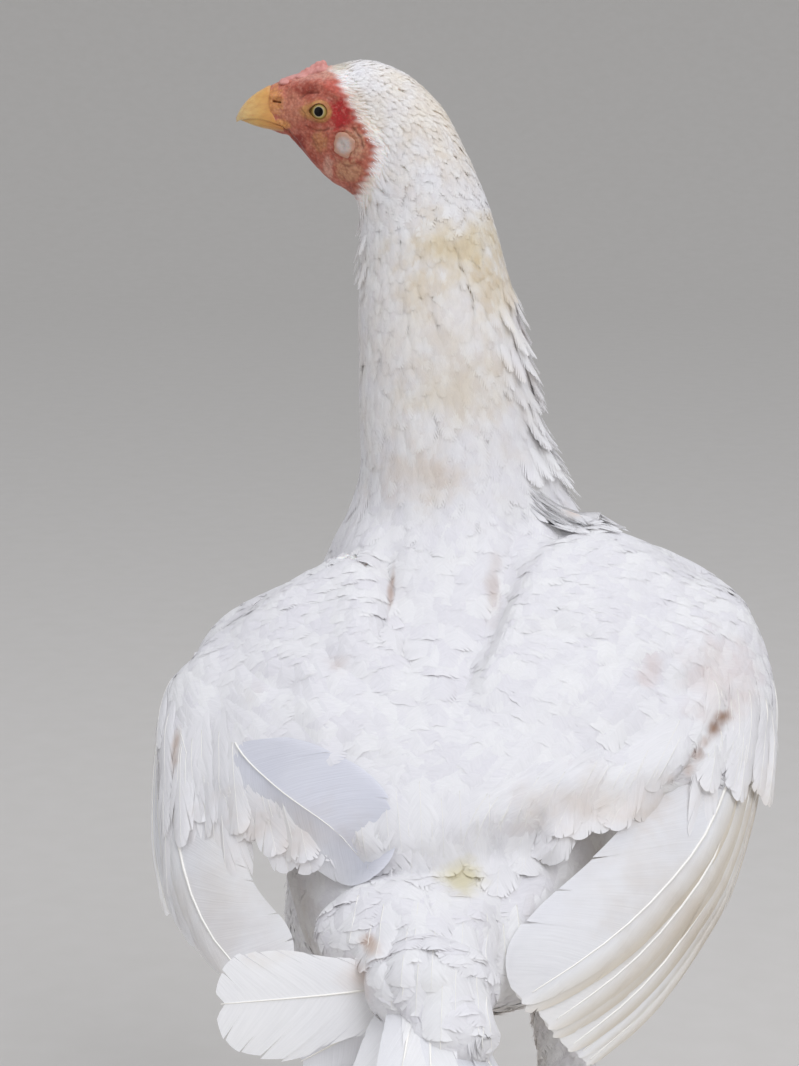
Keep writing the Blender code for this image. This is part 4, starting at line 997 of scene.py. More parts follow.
def coat(name, keep, spacing, sizes, templates, look, seed, wander=0.1, rise=0.22, settle=2.2, camber=0.1,
         tuft=(14, 0.22, 0.3), tweak=None):
    # A piece of small feathers. sizes gives length and half width by place; tuft is the size of clumps,
    # how far they turn and how far they stand up.
    spots = rootsOn(formPoints, formFaces, spacing, keep, seed)
    draw = np.random.default_rng(seed + 100)
    ways, extras = lieAt(spots)
    length, half = sizes(spots, extras)
    length = length * draw.uniform(0.85, 1.15, len(spots))
    half = half * draw.uniform(0.88, 1.12, len(spots))
    normal = np.array([surface.find_nearest(Vector(p))[1] for p in spots])
    beside = np.cross(ways, normal)
    turn = draw.normal(0, wander, len(spots)) + tuft[1] * clump(spots, tuft[0], seed)
    ways = unit(ways + beside * turn[:, None])
    depth = coatDepth(spots) * 0.9 + 0.3
    s = np.linspace(0, 1, 5)[None]
    lift = (draw.normal(0, rise, len(spots)) + tuft[2] * clump(spots, tuft[0], seed + 50))[:, None]
    if tweak:
        length, half, lift, ways = tweak(spots, length, half, lift, ways)
    heights = -depth[:, None] * (1 - s) ** settle + lift * s * s
    grid, normals = followForm(spots, ways, length, half, heights, half * camber)
    low, high = extras[:, :2].min(0), extras[:, :2].max(0)
    roots = 0.004 + 0.992 * (extras[:, [1, 0]] - low[::-1]) / np.maximum(high - low, 1e-6)[::-1]
    return dressed(name, grid, normals, length, roots, templates, draw.random(len(spots)) * 0.9, look,
                   "plumage")


faceForms = lieAt(formPoints[formFaces].mean(1))[1][:, 2]


def ofForm(*names):
    numbers = [forms[n] for n in names]
    return np.isin(faceForms, numbers)


def keepFaces(mask, rule=None):
    # A test for roots: faces of some forms, and a rule on their middles.
    def test(middles):
        use = mask.copy()
        if rule is not None:
            use &= rule(middles)
        return use
    return test


fineVanes = [vane(6, (0, 0.5, 1), 0.5, 0.4, (0.95, 0.75), ragged=0.15, curl=0.05, seed=k) for k in range(5)]
hackleVanes = [vane(9, (0, 0.5, 1), 0.65, 0.28, (0.85, 0.9), reach=(0.4, 0.45), ragged=0.14, curl=0.06,
                    seed=k) for k in range(6)]
softTips = [vane(12, (0, 0.5, 1), 0.7, 0.25, (1.2, 0.52), reach=(0.33, 0.45), bundle=2, ragged=0.06,
                 curl=0.1, seed=k) for k in range(5)]
fluffVanes = [vane(10, (0, 0.45, 1), 0.3, 0.45, (1.0, 0.7), ragged=0.18, curl=0.5, seed=k) for k in range(6)]

headMask = ofForm("neck")


def headSizes(spots, extras):
    low = ease(585, 520, spots[:, 2])
    edge = ease(0, -9, bareAt(spots))
    long = (3.6 + 2.0 * edge) * (1 - low) + (4.5 + 9.5 * edge) * low
    return long, long * (0.075 + 0.165 * edge)


coat("coatHead", keepFaces(headMask, lambda p: (p[:, 2] > 528) & (bareAt(p) < 1.4)),
     lambda p: 1.0 + 0.3 * ease(0, -6, bareAt(p)) + 0.8 * ease(585, 530, p[:, 2]), headSizes, fineVanes,
     whiteCoat, 21, wander=0.2, rise=0.08, tuft=(7, 0.35, 0.2))


def neckSizes(spots, extras):
    t = ease(535, 400, spots[:, 2])
    return 15 + 13 * t, 3.0 + 2.2 * t


def hackleTips(spots, length, half, lift, ways):  # pointed locks stand off the right edge and off the throat
    x, z = spots[:, 0], spots[:, 2]
    nape = np.array(bodyForm["neck"])[:, :2]
    right = ease(14, 3, x - np.interp(z, nape[:, 1], nape[:, 0])) * ease(400, 425, z) * ease(510, 490, z)
    throat = ease(44, 51, x) * ease(500, 515, z)
    pick = (clump(spots, 6, 9) > 0.42) * np.maximum(right, 0.7 * throat)
    ways = unit(ways + pick[:, None] * (-0.35, 0, 0) * np.sign(20 - x)[:, None])
    return length * (1 + 0.3 * pick), half, lift + (5.2 * pick)[:, None], ways


coat("coatNeck", keepFaces(ofForm("neck", "torso"), lambda p: (p[:, 2] <= 530) & (p[:, 2] > 392)),
     lambda p: 2.5 + 0.9 * ease(530, 400, p[:, 2]), neckSizes, hackleVanes, whiteCoat, 22, rise=0.06,
     tuft=(13, 0.3, 0.3), settle=3.2, tweak=hackleTips)


def bodySizes(spots, extras):
    t = ease(400, 300, spots[:, 2])
    return 26 + 9 * t, 8.0 + 3.0 * t


def isBack(p):
    return ((p - [0, -100, 383]) @ backOut) > -46


bodyMask = ofForm("torso", "neck")
coat("coatBack", keepFaces(bodyMask, lambda p: (p[:, 2] <= 394) & isBack(p)),
     lambda p: 4.5 + 0.7 * ease(400, 300, p[:, 2]), bodySizes, softTips, whiteCoat, 23, rise=0.08,
     tuft=(24, 0.25, 0.3), settle=3.4)
coat("coatBreast", keepFaces(bodyMask, lambda p: (p[:, 2] <= 394) & ~isBack(p)),
     lambda p: 4.6 + 0 * p[:, 2], bodySizes, fluffVanes, whiteCoat, 24, rise=0.3, tuft=(20, 0.2, 0.5))
coat("coatRump", keepFaces(ofForm("tail")), lambda p: 4.2 + 0 * p[:, 2],
     lambda p, e: (22 + 0 * p[:, 0], 9.0 + 0 * p[:, 0]), softTips, whiteCoat, 31, wander=0.2, rise=0.15,
     tuft=(15, 0.4, 1.1), settle=3.0)


def thighSizes(spots, extras):
    t = ease(230, 135, spots[:, 2])
    return 20 - 7 * t, 6.0 - 2.2 * t


coat("coatThighs", keepFaces(ofForm("thigh")), lambda p: 4.6 - 1.4 * ease(230, 135, p[:, 2]), thighSizes,
     fluffVanes, whiteCoat, 25, rise=0.4, tuft=(18, 0.2, 0.6))


def wingSizes(spots, extras):
    t = ease(385, 300, spots[:, 2])
    # long and narrow on wrist and hand
    hand = ease(92, 112, np.abs(spots[:, 0])) * ease(335, 312, spots[:, 2])
    return (17 + 13 * t) * (1 + 0.3 * hand), (6.4 + 3.8 * t) * (1 - 0.5 * hand)


def wingSpacing(spots):
    wrist = ease(95, 115, np.abs(spots[:, 0])) * ease(335, 312, spots[:, 2])
    return 3.6 + 1.2 * ease(380, 300, spots[:, 2]) - wrist


for name in sides:
    coat("coatWing" + name.capitalize(), keepFaces(ofForm(name)), wingSpacing, wingSizes, softTips,
         whiteCoat, 26 + sides[name], rise=0.07, tuft=(24, 0.25, 0.35), settle=3.0)


# Large feathers of the wings, laid on the capes

def broad(b, side):  # how wide a flight vane is from its root to its tip
    return float(ease(-0.14, 0.12, b) * (1 - b ** 7) ** 0.5)


# the same for the feather held out level: widest past its middle, with a blunt, worn tip
def slanted(b, side):
    wide = 0.66 + 0.38 * ease(0.15, 0.62, b) if side > 0 else 0.82 + 0.34 * ease(0.1, 0.55, b)
    return float(wide * (1 - 0.86 * b ** (5 if side > 0 else 6)) ** 0.8)


flightVanes = [vane(54, (0, 0.3, 0.62, 0.85, 1), 0.85, 0.3, reach=(0.24, 0.42), start=0.03, bundle=8,
                    ragged=0.03, curl=0.3, seed=40 + k, shape=broad) for k in range(5)]
heldVanes = [vane(54, (0, 0.3, 0.62, 0.85, 1), 0.6, 0.35, reach=(0.24, 0.42), start=0.03, bundle=4,
                  ragged=0.06, curl=0.5, seed=60, shape=slanted)]
coolVanes = [vane(44, (0, 0.3, 0.62, 0.85, 1), 0.9, 0.15, (1.0, 0.55), reach=(0.24, 0.42), start=0.02,
                  bundle=9, ragged=0.02, curl=0.2, seed=64)]
softVanes = [vane(22, (0, 0.4, 0.75, 1), 0.75, 0.22, (1.2, 0.52), reach=(0.33, 0.46), start=0.03, bundle=3,
                  ragged=0.05, curl=0.3, seed=70 + k) for k in range(6)]


# where the search for the plumage starts over a cape, and how far it goes
probe = {"from": 40.0, "reach": 52.0}


def plumageOver(name, x, z, spread):  # how high the plumage stands over a cape there, or None beside it
    point, _, _, normal = onCape(name, x, z, probe["from"], spread)
    hit, _, _, far = surface.ray_cast(Vector(point), Vector(-normal))
    return probe["from"] - far if hit and far < probe["reach"] else None


def quillOnCape(name, shaft, wide, lift, spread=0.0, tuck=(1.2, 0.5), over=None, stations=10):
    # lays one feather on a cape. Shaft is points x outwards and z up; wide, tuck and over are for the
    # inner and outer half; over lays it that high over the plumage instead, with its root under it
    side = sides[name]
    track = throughRows(shaft, stations)
    high = np.linspace(lift[0], lift[1], stations)
    spine, _, _, normal = onCape(name, track[:, 0], track[:, 1], high, spread)
    across = unit(np.cross(unit(np.gradient(spine, axis=0)), normal))
    grid = np.zeros((stations, 3, 3))
    for lane, way in ((0, -1), (1, 0), (2, 1)):
        half = int(way == side)
        x = track[:, 0] + side * across[:, 0] * wide[half] * way
        z = track[:, 1] + across[:, 2] * wide[half] * way
        height = high - tuck[half] * abs(way)
        if over:
            height, last = np.zeros(stations), 6.0
            for k in range(stations):
                found = plumageOver(name, x[k], z[k], spread)
                last = last - 0.8 if found is None else found
                height[k] = last + over[half if way else 2] - 3.2 * (1 - k / (stations - 1)) ** 2.4
        grid[:, lane] = onCape(name, x, z, height, spread)[0]
    return grid, normal


def settled(grid, caps):  # brings feathers down to at most so high over the plumage, from root to tip
    grid = grid.copy()
    for row, cap in zip(grid, caps):
        for lane in range(3):
            hit, out, _, _ = surface.find_nearest(Vector(row[lane]))
            high = (Vector(row[lane]) - hit).dot(out)
            if high > cap:
                row[lane] -= np.array(out) * (high - cap)
    return grid


# what rows of soft feathers share: those over the arm's lower rim, and those over the wrist
softRows = {
    "rim": {"kind": "soft", "lift": (0, 0), "widths": ((9.5, 8.5), (9.5, 8)), "stray": 2.0, "jitter": 3,
            "over": (0.2, 0.2, 0.9)},
    "wrist": {"kind": "soft", "lift": (0, 0), "widths": ((7.5, 6.5), (5.5, 5)), "stray": 3.0, "jitter": 7,
              "over": (0.4, 0.4, 1.2)},
}
coolShaft = ((93, 300), (87, 295), (77, 289.5), (66, 284), (53, 278.5), (40, 271), (28, 259))

# Rows of large feathers: the first lies nearest the spine and on top. Shafts are x outwards and z up.
wingRows = {
    "left": (
        {"kind": "flight", "fan": (0, 0.16, 0.38, 0.52, 0.70, 0.86, 1), "count": 7, "lift": (1.0, -0.7),
         "spread": 9, "widths": ((30, 8), (12, 3.5)), "tint": (0.9, 0.8, 1.0),
         "first": ((128, 313), (129, 289), (123, 266), (111, 242), (92, 224), (66, 213)),
         "last": ((143, 306), (144, 290), (142.5, 272), (138.5, 255), (132, 242), (125, 231))},
        # the cool feather: tint 0.3 paints lavender shade on the inner half of its vane
        {"kind": "cool", "count": 1, "lift": (8.0, 0), "spread": 0, "widths": ((27, 19), (27, 19)),
         "tint": (0.3, 0.3, 0.8), "over": (1.7, 2.3, 3.2), "first": coolShaft, "last": coolShaft},
        {**softRows["rim"], "count": 30, "spread": 0,
         "first": ((-34, 300), (-35, 289), (-35, 277), (-34, 262)),
         "last": ((122, 308), (116, 296), (110, 283), (103, 267))},
        {**softRows["wrist"], "count": 18, "spread": 9,
         "first": ((97, 312), (97, 297), (95, 282), (92, 262)),
         "last": ((131, 322), (136, 308), (138.5, 294), (138, 274))},
    ),
    "right": (
        # tint 1.6 paints cream shade on the outer half of each primary
        {"kind": "flight", "fan": (-0.08, 0.06, 0.34, 0.46, 0.72, 0.84, 1), "count": 7, "lift": (3.0, -0.9),
         "spread": 0, "widths": ((29, 8), (15, 4)), "tint": (1.6, 0.95, 0.85), "rise": (-5.0, 0),
         "first": ((138, 322), (131, 305.5), (124, 289), (113, 271), (99, 257.5), (80, 243), (60, 231),
                   (30, 215)),
         "last": ((151, 318), (145, 294), (138, 276), (125, 250), (110, 232), (91, 213), (74, 201),
                  (60, 191))},
        {**softRows["rim"], "count": 20, "spread": 0,
         "first": ((26, 304), (18, 292), (10, 281), (4, 267)),
         "last": ((110, 320), (103, 309), (96, 299), (87, 286))},
        {**softRows["wrist"], "count": 18, "spread": 0,
         "first": ((104, 328), (108, 315), (110, 302), (107, 285)),
         "last": ((141, 336), (147, 320), (150, 304), (148, 284))},
    ),
}
quillKinds = {
    "flight": (flightVanes, whiteFlight, {"base": 1.1, "tip": 0.3}, 0.7),
    "cool": (coolVanes, whiteFlight, {"base": 0.6, "tip": 0.15, "to": 0.85}, 0.5),
    "soft": (softVanes, whiteCoat, {"base": 0.25, "tip": 0.08, "from": 0.4, "lift": 0.1}, 0.5),
}


def wingQuills(name):
    parts = {kind: ([], [], [], [], []) for kind in quillKinds}
    draw = np.random.default_rng(80 + sides[name])
    for row in wingRows[name]:
        first, last = np.array(row["first"], float), np.array(row["last"], float)
        for k in range(row["count"]):
            t = row["fan"][k] if "fan" in row else k / max(1, row["count"] - 1)
            along = np.linspace(0, 1, len(first))[:, None]
            shaft = first + (last - first) * t + draw.normal(0, 0.7, 2) * along
            shaft = shaft + draw.normal(0, 1, 2) * row.get("jitter", 0) * (0.5, 1)
            shaft[-1] += unit(shaft[-1] - shaft[-2]) * draw.normal(0, row.get("stray", 0))
            wide = [a + (b - a) * t for a, b in zip(*row["widths"])]
            lift = row["lift"][0] + row["lift"][1] * k
            rise = row.get("rise", (-3.0, 0))
            grid, normal = quillOnCape(name, shaft, wide, (lift + rise[0], lift + rise[1]), row["spread"],
                                       over=row.get("over"))
            length = np.linalg.norm(np.diff(grid[:, 1], axis=0), axis=1).sum()
            root = (0.05 + 0.9 * shaft[0][0] / 170, 0.05 + 0.9 * (shaft[0][1] - 180) / 220)
            tint = np.array(row.get("tint", (0.6, 0.6, 0.6))) + draw.uniform(-0.2, 0.2) * (row["count"] > 1)
            for part, value in zip(parts[row["kind"]], (grid, normal, length, root, tint)):
                part.append(value)
    for kind, (templates, look, shaft, arch) in quillKinds.items():
        if not parts[kind][0]:
            continue
        grids, normals, lengths, roots, tints = (np.array(p) for p in parts[kind])
        dressed(kind + name.capitalize(), grids, normals, lengths, roots, templates, tints, look, "plumage",
                shaft=shaft, arch=arch)


for name in sides:
    wingQuills(name)

# Tail: a drooping fan with the outermost left feather held out level, and its coverts

tailForm = {
    "root": (7, 120, 244), "start": 0.06, "sag": 4, "cup": 1.2,
    # turn to the bird's left, droop, roll, length, half width, height of the root
    "fan": (
        (-31, 26, -40, 92, 13, -8), (-22, 25, -28, 100, 14, -5), (-13, 23, -15, 106, 13, -2),
        (-5, 21, -5, 108, 11, 0), (4, 22, 6, 110, 11, 1), (15, 29, 18, 106, 15, -4),
        (29, 38, 25, 98, 16, -11),
    ),
    # root, middle, tip, which way its face looks, half width
    "held": (
        ((6, 116, 216), (34, 138, 207), (58, 152, 198), (-0.15, 0.9, 0.3), 17),
        ((4, 124, 226), (38, 146, 227), (90, 172, 231), (-0.42, 0.84, 0.36), 21),
    ),
    # rows of coverts from the lowest up: height of roots and tips, half width, places of the roots along x
    "coverts": (
        (234, 200, 8.0, (-2, 9)), (240, 207, 8.0, (-18, -9)), (244, 214, 8.0, (3, -22)),
        (249, 222, 8.0, (-3, -15, 12)), (256, 229, 8.0, (-24, -6, 7, 19)),
        (262, 237, 8.0, (-29, -16, 1, 14, 27)), (268, 246, 8.0, (-21, -8, 9, 22, 35)),
    ),
    # how high they may stand over the form, root to tip
    "covertCaps": (-2.6, -1.7, -0.8, 0, 0.5, 0.9, 1.2, 1.5, 1.8),
}


farBehind = 400


def behindTail(x, z, depth):  # the form's rear face there, or the depth given where it ends
    hit, _, _, _ = surface.ray_cast(Vector((x, farBehind, z)), Vector((0, -1, 0)))
    return hit.y if hit else depth


def quillInSpace(points, wide, face, cup, stations=9):
    spine = throughRows(points, stations)
    run = unit(np.gradient(spine, axis=0))
    across = unit(np.cross(run, face))
    normal = np.cross(across, run)
    grid = np.stack([spine - across * wide - normal * cup, spine, spine + across * wide - normal * cup], 1)
    return grid, normal


tailKinds = {
    "tailQuills": (flightVanes, whiteFlight, {"base": 1.0, "tip": 0.25}),
    "heldQuills": (heldVanes, whiteFlight, {"base": 1.0, "tip": 0.25}),
    "tailCoverts": (softVanes, whiteCoat, {"base": 0.35, "tip": 0.1, "from": 0.35, "lift": 0.1}),
}


def tail():
    root = np.array(tailForm["root"], float)
    parts = {kind: [] for kind in tailKinds}
    for turn, droop, roll, length, wide, lift in tailForm["fan"]:
        a, b, c = (math.radians(v) for v in (turn, droop, roll))
        level = np.array([math.sin(a), math.cos(a), 0])
        along = level * math.cos(b) - up * math.sin(b)
        face = level * math.sin(b) + up * math.cos(b)
        face = face * math.cos(c) + np.cross(along, face) * math.sin(c)
        points = [root + along * length * t + up * (lift - tailForm["sag"] * t * t)
                  for t in (tailForm["start"], 0.35, 0.7, 1.0)]
        parts["tailQuills"].append((quillInSpace(points, wide, face, tailForm["cup"]), length,
                                    (0.5 + turn / 140, 0.3)))
    for k, (start, middle, end, face, wide) in enumerate(tailForm["held"]):
        parts["heldQuills"].append((quillInSpace([start, middle, end], wide, np.array(face), 1.5), 95,
                                    (0.9, 0.3 + k / 4)))
    for high, low, wide, places in tailForm["coverts"]:
        for place in places:
            place, drop = place + chance.normal(0, 1.2), chance.normal(0, 2.0)
            points, depth = [], 150
            for t in (0, 0.33, 0.67, 1):
                x, z = place + (place - 2) * 0.12 * t, high + (low + drop - high) * t
                depth = behindTail(x, z, depth + 2)
                points.append((x, depth + 1.5 * t, z))
            grid, normal = quillInSpace(points, wide, np.array([(place - 2) / 50, 0.8, 0.5]), 3.2)
            parts["tailCoverts"].append(((settled(grid, tailForm["covertCaps"]), normal), high - low,
                                         (0.5 + place / 90, 0.7)))
    for kind, (templates, look, shaft) in tailKinds.items():
        grids, normals = (np.array([p[0][k] for p in parts[kind]]) for k in (0, 1))
        lengths, roots = (np.array([p[k] for p in parts[kind]], float) for k in (1, 2))
        dressed(kind, grids, normals, lengths, roots, templates, 0.6 + 0.4 * chance.random(len(grids)), look,
                "plumage", shaft=shaft, arch=0.6)


tail()

# Pointed feathers of the neck's foot, lying over the right shoulder: start, middle, tip
shoulderTuft = (
    ((-34, -46, 410), (-50, -47, 401), (-63, -44, 391)), ((-38, -50, 407), (-55, -51, 399), (-70, -48, 389)),
    ((-42, -54, 403), (-60, -55, 396), (-79, -52, 386)), ((-36, -42, 404), (-49, -42, 395), (-58, -39, 386)),
    ((-40, -48, 400), (-58, -49, 393), (-74, -46, 385)), ((-38, -52, 398), (-54, -53, 391), (-68, -51, 384)),
)
tuftCaps = (-1.5, -0.4, 0.2, 0.5, 0.8, 1.0, 1.1, 1.1, 1.0)
tuftFace, tuftStep = np.array([-0.25, 0.6, 0.75]), np.array([3, -4, 2.5])
laid = [quillInSpace(np.add(points, tuftStep * k), 3.0, tuftFace, 0.6) for points in shoulderTuft
        for k in (0, -0.6)]
dressed("shoulderTuft", np.array([settled(grid, tuftCaps) for grid, _ in laid]),
        np.array([n for _, n in laid]), np.full(len(laid), 45.0),
        np.array([(0.1 + 0.045 * k, 0.5) for k in range(len(laid))]), hackleVanes,
        np.full(len(laid), 0.6), whiteCoat, "plumage", arch=0.3)

# Head

headForm = {
    "middle": -100, "beside": 80, "over": 640,  # its mid plane, and where rays towards it start
    "eye": (69.9, 575.6), "eyeRadius": 7.2, "eyeShows": 2.2, "cornea": 0.4,
    "opening": (3.7, 3.5), "frontCorner": 5.3, "lid": 0.8,
    # folds and ridges: height, half width, points x and z
    "folds": (
        (-1.0, 0.60, ((80, 581.5), (76, 584.2), (71, 584.2))),
        (-0.5, 0.50, ((72, 583), (67.5, 582.4), (64, 580))),
        (-0.9, 0.60, ((77, 568.5), (74, 566.6), (69, 566.2), (66, 567.5))),
        (-0.7, 0.45, ((79.5, 577), (77, 574.5), (77.5, 571))),
        (-0.9, 0.50, ((96, 570.6), (91, 568.6), (87, 565.8), (84, 561.5))),
        (-0.5, 0.80, ((86, 566), (81.5, 560), (77, 552))),
        (-0.4, 0.90, ((75, 563), (71, 556), (67, 549))),
        (-0.5, 0.70, ((64.5, 567), (59, 568.8), (53, 567.3))),
        (-1.0, 0.70, ((54, 567.5), (50.5, 563.5), (49.5, 559))),
        (-0.5, 0.80, ((65.5, 557), (63, 552), (57, 549.5), (52, 551))),
        (-0.4, 0.70, ((61, 546), (57, 541), (55, 534))),
        (1.5, 2.6, ((83, 585.5), (76, 588.6), (68, 587.6), (61.5, 582.5))),
        (0.7, 1.5, ((66.5, 561), (64.5, 566), (58, 568), (51.5, 564.5), (50, 558), (54.5, 552.5))),
        (0.9, 1.1, ((94, 582), (89, 582))),
        (-1.5, 0.45, ((93.2, 580), (89.8, 579.5))),
        (0.5, 0.9, ((95, 571.8), (90.5, 570.2), (87, 567.6))),
        (0.6, 1.2, ((84, 566), (79, 559.5), (75, 553))),
    ),
    "lobe": (58.2, 560.0), "lobeRadii": (5.5, 5.9, 1.5), "lobeProud": 0.1,
}

headTube = closedGrid(neckGrid(520, 260))
headSurface = BVHTree.FromPolygons([Vector(p) for p in headTube[0]], [tuple(f) for f in headTube[1].tolist()])


def onHead(x, z, side):
    beside = Vector((x, headForm["middle"] + side * headForm["beside"], z))
    spot, out, _, _ = headSurface.ray_cast(beside, Vector((0, -side, 0)))
    out = out if out.y * side > 0 else -out
    return np.array(spot), np.array(out)


def faceRelief(points, out):
    # Height of lids, folds and pebbles over the plain head, and how far each place is out of the eye's
    # opening.
    x, z = points[:, 0], points[:, 2]
    onSide = ease(0.15, 0.55, np.abs(out[:, 1]))
    height = np.zeros(len(points))
    crease = np.zeros(len(points))
    for rise, wide, track in headForm["folds"]:
        near = np.exp(-(awayFrom(x, z, track) / wide) ** 2)
        height += rise * near
        # how deep each furrow is, which the skin's material paints as shade
        crease = np.maximum(crease, -rise * near)
    height *= onSide
    for size, tall in ((1.5, 0.10), (3.2, 0.16)):
        height += tall * np.array([noise.noise(Vector(p) / size) for p in points])
    radius, shows = headForm["eyeRadius"], headForm["eyeShows"]
    u, v = x - headForm["eye"][0], z - headForm["eye"][1]
    distance = np.hypot(u, v)
    wideU = np.where(u > 0, headForm["frontCorner"], headForm["opening"][0])
    wideV = headForm["opening"][1] * (1 - 0.4 * np.clip(u / headForm["frontCorner"], 0, 1) ** 1.5)
    beyond = (np.sqrt((u / wideU) ** 2 + (v / wideV) ** 2) - 1) * wideV
    ball = np.sqrt(np.maximum(radius ** 2 - distance ** 2, 0)) - (radius - shows)
    upper = 0.25 * ease(-1, 3, v)
    ring = np.maximum(ball, 0) + (headForm["lid"] + upper) * np.exp(-(np.maximum(beyond - 0.3, 0) / 2.2) ** 2)
    ring += 0.10 * np.cos(beyond * 2 * math.pi / 1.2) * np.exp(-np.maximum(beyond, 0) / 2)
    near = onSide * ease(7.5, 3.5, beyond) * (distance < 14)
    height = height * (1 - near * 0.6) + ring * near
    inside = onSide * ease(0.12, -0.12, beyond) * (distance < 8)
    height = height * (1 - inside) + (ball - 1.7) * inside
    # painted shadow along the lids' rims, strongest at the upper lid
    inner = ease(0.7, 0.1, beyond) * ease(-1.2, -0.2, beyond) * onSide * (0.35 + 0.65 * ease(-1, 2, v))
    lids = ease(2.6, 1.0, beyond) * (distance < 12) * onSide
    return height, lids, np.minimum(1, np.maximum(crease * onSide, inner))


def buildSkin():
    work = bmesh.new()
    work.from_mesh(formMesh)
    # how many cuts, and where: the face, its middle, then the eye's lids and the corner of the mouth
    finer = (
        (2, lambda p: bareAt(p) > -5),
        (1, lambda p: (bareAt(p) > 0) & (p[:, 2] > 545)),
        (1, lambda p: (np.hypot(p[:, 0] - 70.3, p[:, 2] - 575.6) < 7.5) | ((p[:, 0] > 86) & (p[:, 2] < 584))),
    )
    for cuts, region in finer:
        middles = np.array([face.calc_center_median() for face in work.faces]) / mm - shift
        chosen = region(middles) & (middles[:, 2] > 524)
        work.faces.ensure_lookup_table()
        edges = {edge for k in np.flatnonzero(chosen) for edge in work.faces[k].edges}
        bmesh.ops.subdivide_edges(work, edges=list(edges), cuts=cuts, use_grid_fill=True)
    bmesh.ops.triangulate(work, faces=[face for face in work.faces if len(face.verts) > 4])
    mesh = bpy.data.meshes.new("skin")
    work.to_mesh(mesh)
    work.free()
    count = len(mesh.vertices)
    points, normals = readMesh(mesh)
    ahead = bareAt(points)
    face = np.flatnonzero(ahead > -6)
    for k in face:
        spot, out, _, _ = headSurface.find_nearest(Vector(points[k]))
        share = float(ease(-6, -3, ahead[k]))
        points[k] += (np.array(spot) - points[k]) * share
        sign = 1 if out.dot(Vector(normals[k])) > 0 else -1
        normals[k] = unit(normals[k] * (1 - share) + np.array(out) * share * sign)
    relief, lids, crease = np.zeros(count), np.zeros(count), np.zeros(count)
    relief[face], lids[face], crease[face] = faceRelief(points[face], normals[face])
    relief *= ease(-3, 0.5, ahead)
    bare = ease(-4, 2.5, ahead)
    points += normals * (relief - coatDepth(points) - 0.2 * (1 - bare))[:, None]
    writePoints(mesh, points)
    addValue(mesh, "bare", bare)
    addValue(mesh, "lid", lids)
    addValue(mesh, "crease", crease)
    mesh.materials.append(henSkin)
    mesh.shade_smooth()
    mesh.update()
    addPiece("skin", mesh, "skin", "head", "neck", "torso", "thigh_left", "thigh_right", "wing_left",
             "wing_right", "primaries_left", "primaries_right", "tail")
    print("skin", count, "points")


buildSkin()


def buildEye(name, side):
    spot, out = onHead(*headForm["eye"], side)
    out = unit(out * (1, 1, 0.6) + (0.04, 0, 0))
    centre = spot - out * (headForm["eyeRadius"] - headForm["eyeShows"])
    across = unit(np.cross(up, out))
    axes = np.array([across, np.cross(out, across), out])
    rows, around = 60, 64
    angle = np.linspace(0.012, math.pi * 0.62, rows)[:, None]
    turn = fullTurn(around)
    reach = headForm["eyeRadius"] + headForm["cornea"] * ease(0.62, 0.3, angle)
    grid = centre + (np.stack([np.sin(angle) * np.cos(turn), np.sin(angle) * np.sin(turn),
                               np.cos(angle) + 0 * turn], -1)
                     * reach[..., None]) @ axes
    points, quads, tris = closedGrid(grid)
    mesh = newMesh("eye" + name.capitalize(), points, quads, tris, [wetEye])
    polar = np.stack([(turn + 0 * angle) / (2 * math.pi), angle * headForm["eyeRadius"] + 0 * turn],
                     -1).reshape(-1, 2)
    addMap(mesh, "iris", np.concatenate([polar, [(0, 0), (0, 14)]]))
    addPiece("eye" + name.capitalize(), mesh, "eye", "eye_" + name)


def lumpy(points, centre, size, tall, seed):
    # Uneven growth: pushes points away from or towards a centre by smooth noise.
    away = unit(points - np.asarray(centre, float))
    push = np.array([noise.noise(Vector(p) / size + Vector((seed, 0, 0))) for p in points]) * tall
    return points + away * push[:, None]


def buildLobe(name, side):
    spot, out = onHead(*headForm["lobe"], side)
    across = unit(np.cross(up, out))
    centre = spot + out * headForm["lobeProud"]
    axes = np.array([across, np.cross(across, out), out])
    grid = ballGrid(centre, headForm["lobeRadii"], 60, 64, axes)
    points, quads, tris = closedGrid(grid)
    points = lumpy(lumpy(points, centre, 3.2, 1.5, 3), centre, 1.2, 0.25, 8)
    mesh = newMesh("lobe" + name.capitalize(), points, quads, tris, [chalkyLobe])
    far = np.linalg.norm((points - centre) @ axes.T[:, :2] / headForm["lobeRadii"][:2], axis=1)
    addValue(mesh, "rim", ease(0.38, 0.92, far))
    addPiece(mesh.name, mesh, "lobe", "earlobe_" + name)


combForm = {
    "front": 88, "back": 69.3,
    # rows of knobs: offset from the mid plane, count, size; then x and height along the comb
    "rows": ((0, 8, 2.2), (2.6, 7, 1.8), (-2.6, 7, 1.8), (4.6, 3, 1.0), (-4.6, 3, 1.0)),
    "heights": ((66, 0.5), (69.3, 0.72), (72.5, 0.74), (77, 0.42), (82, 0.15), (89, 0.0)),
}


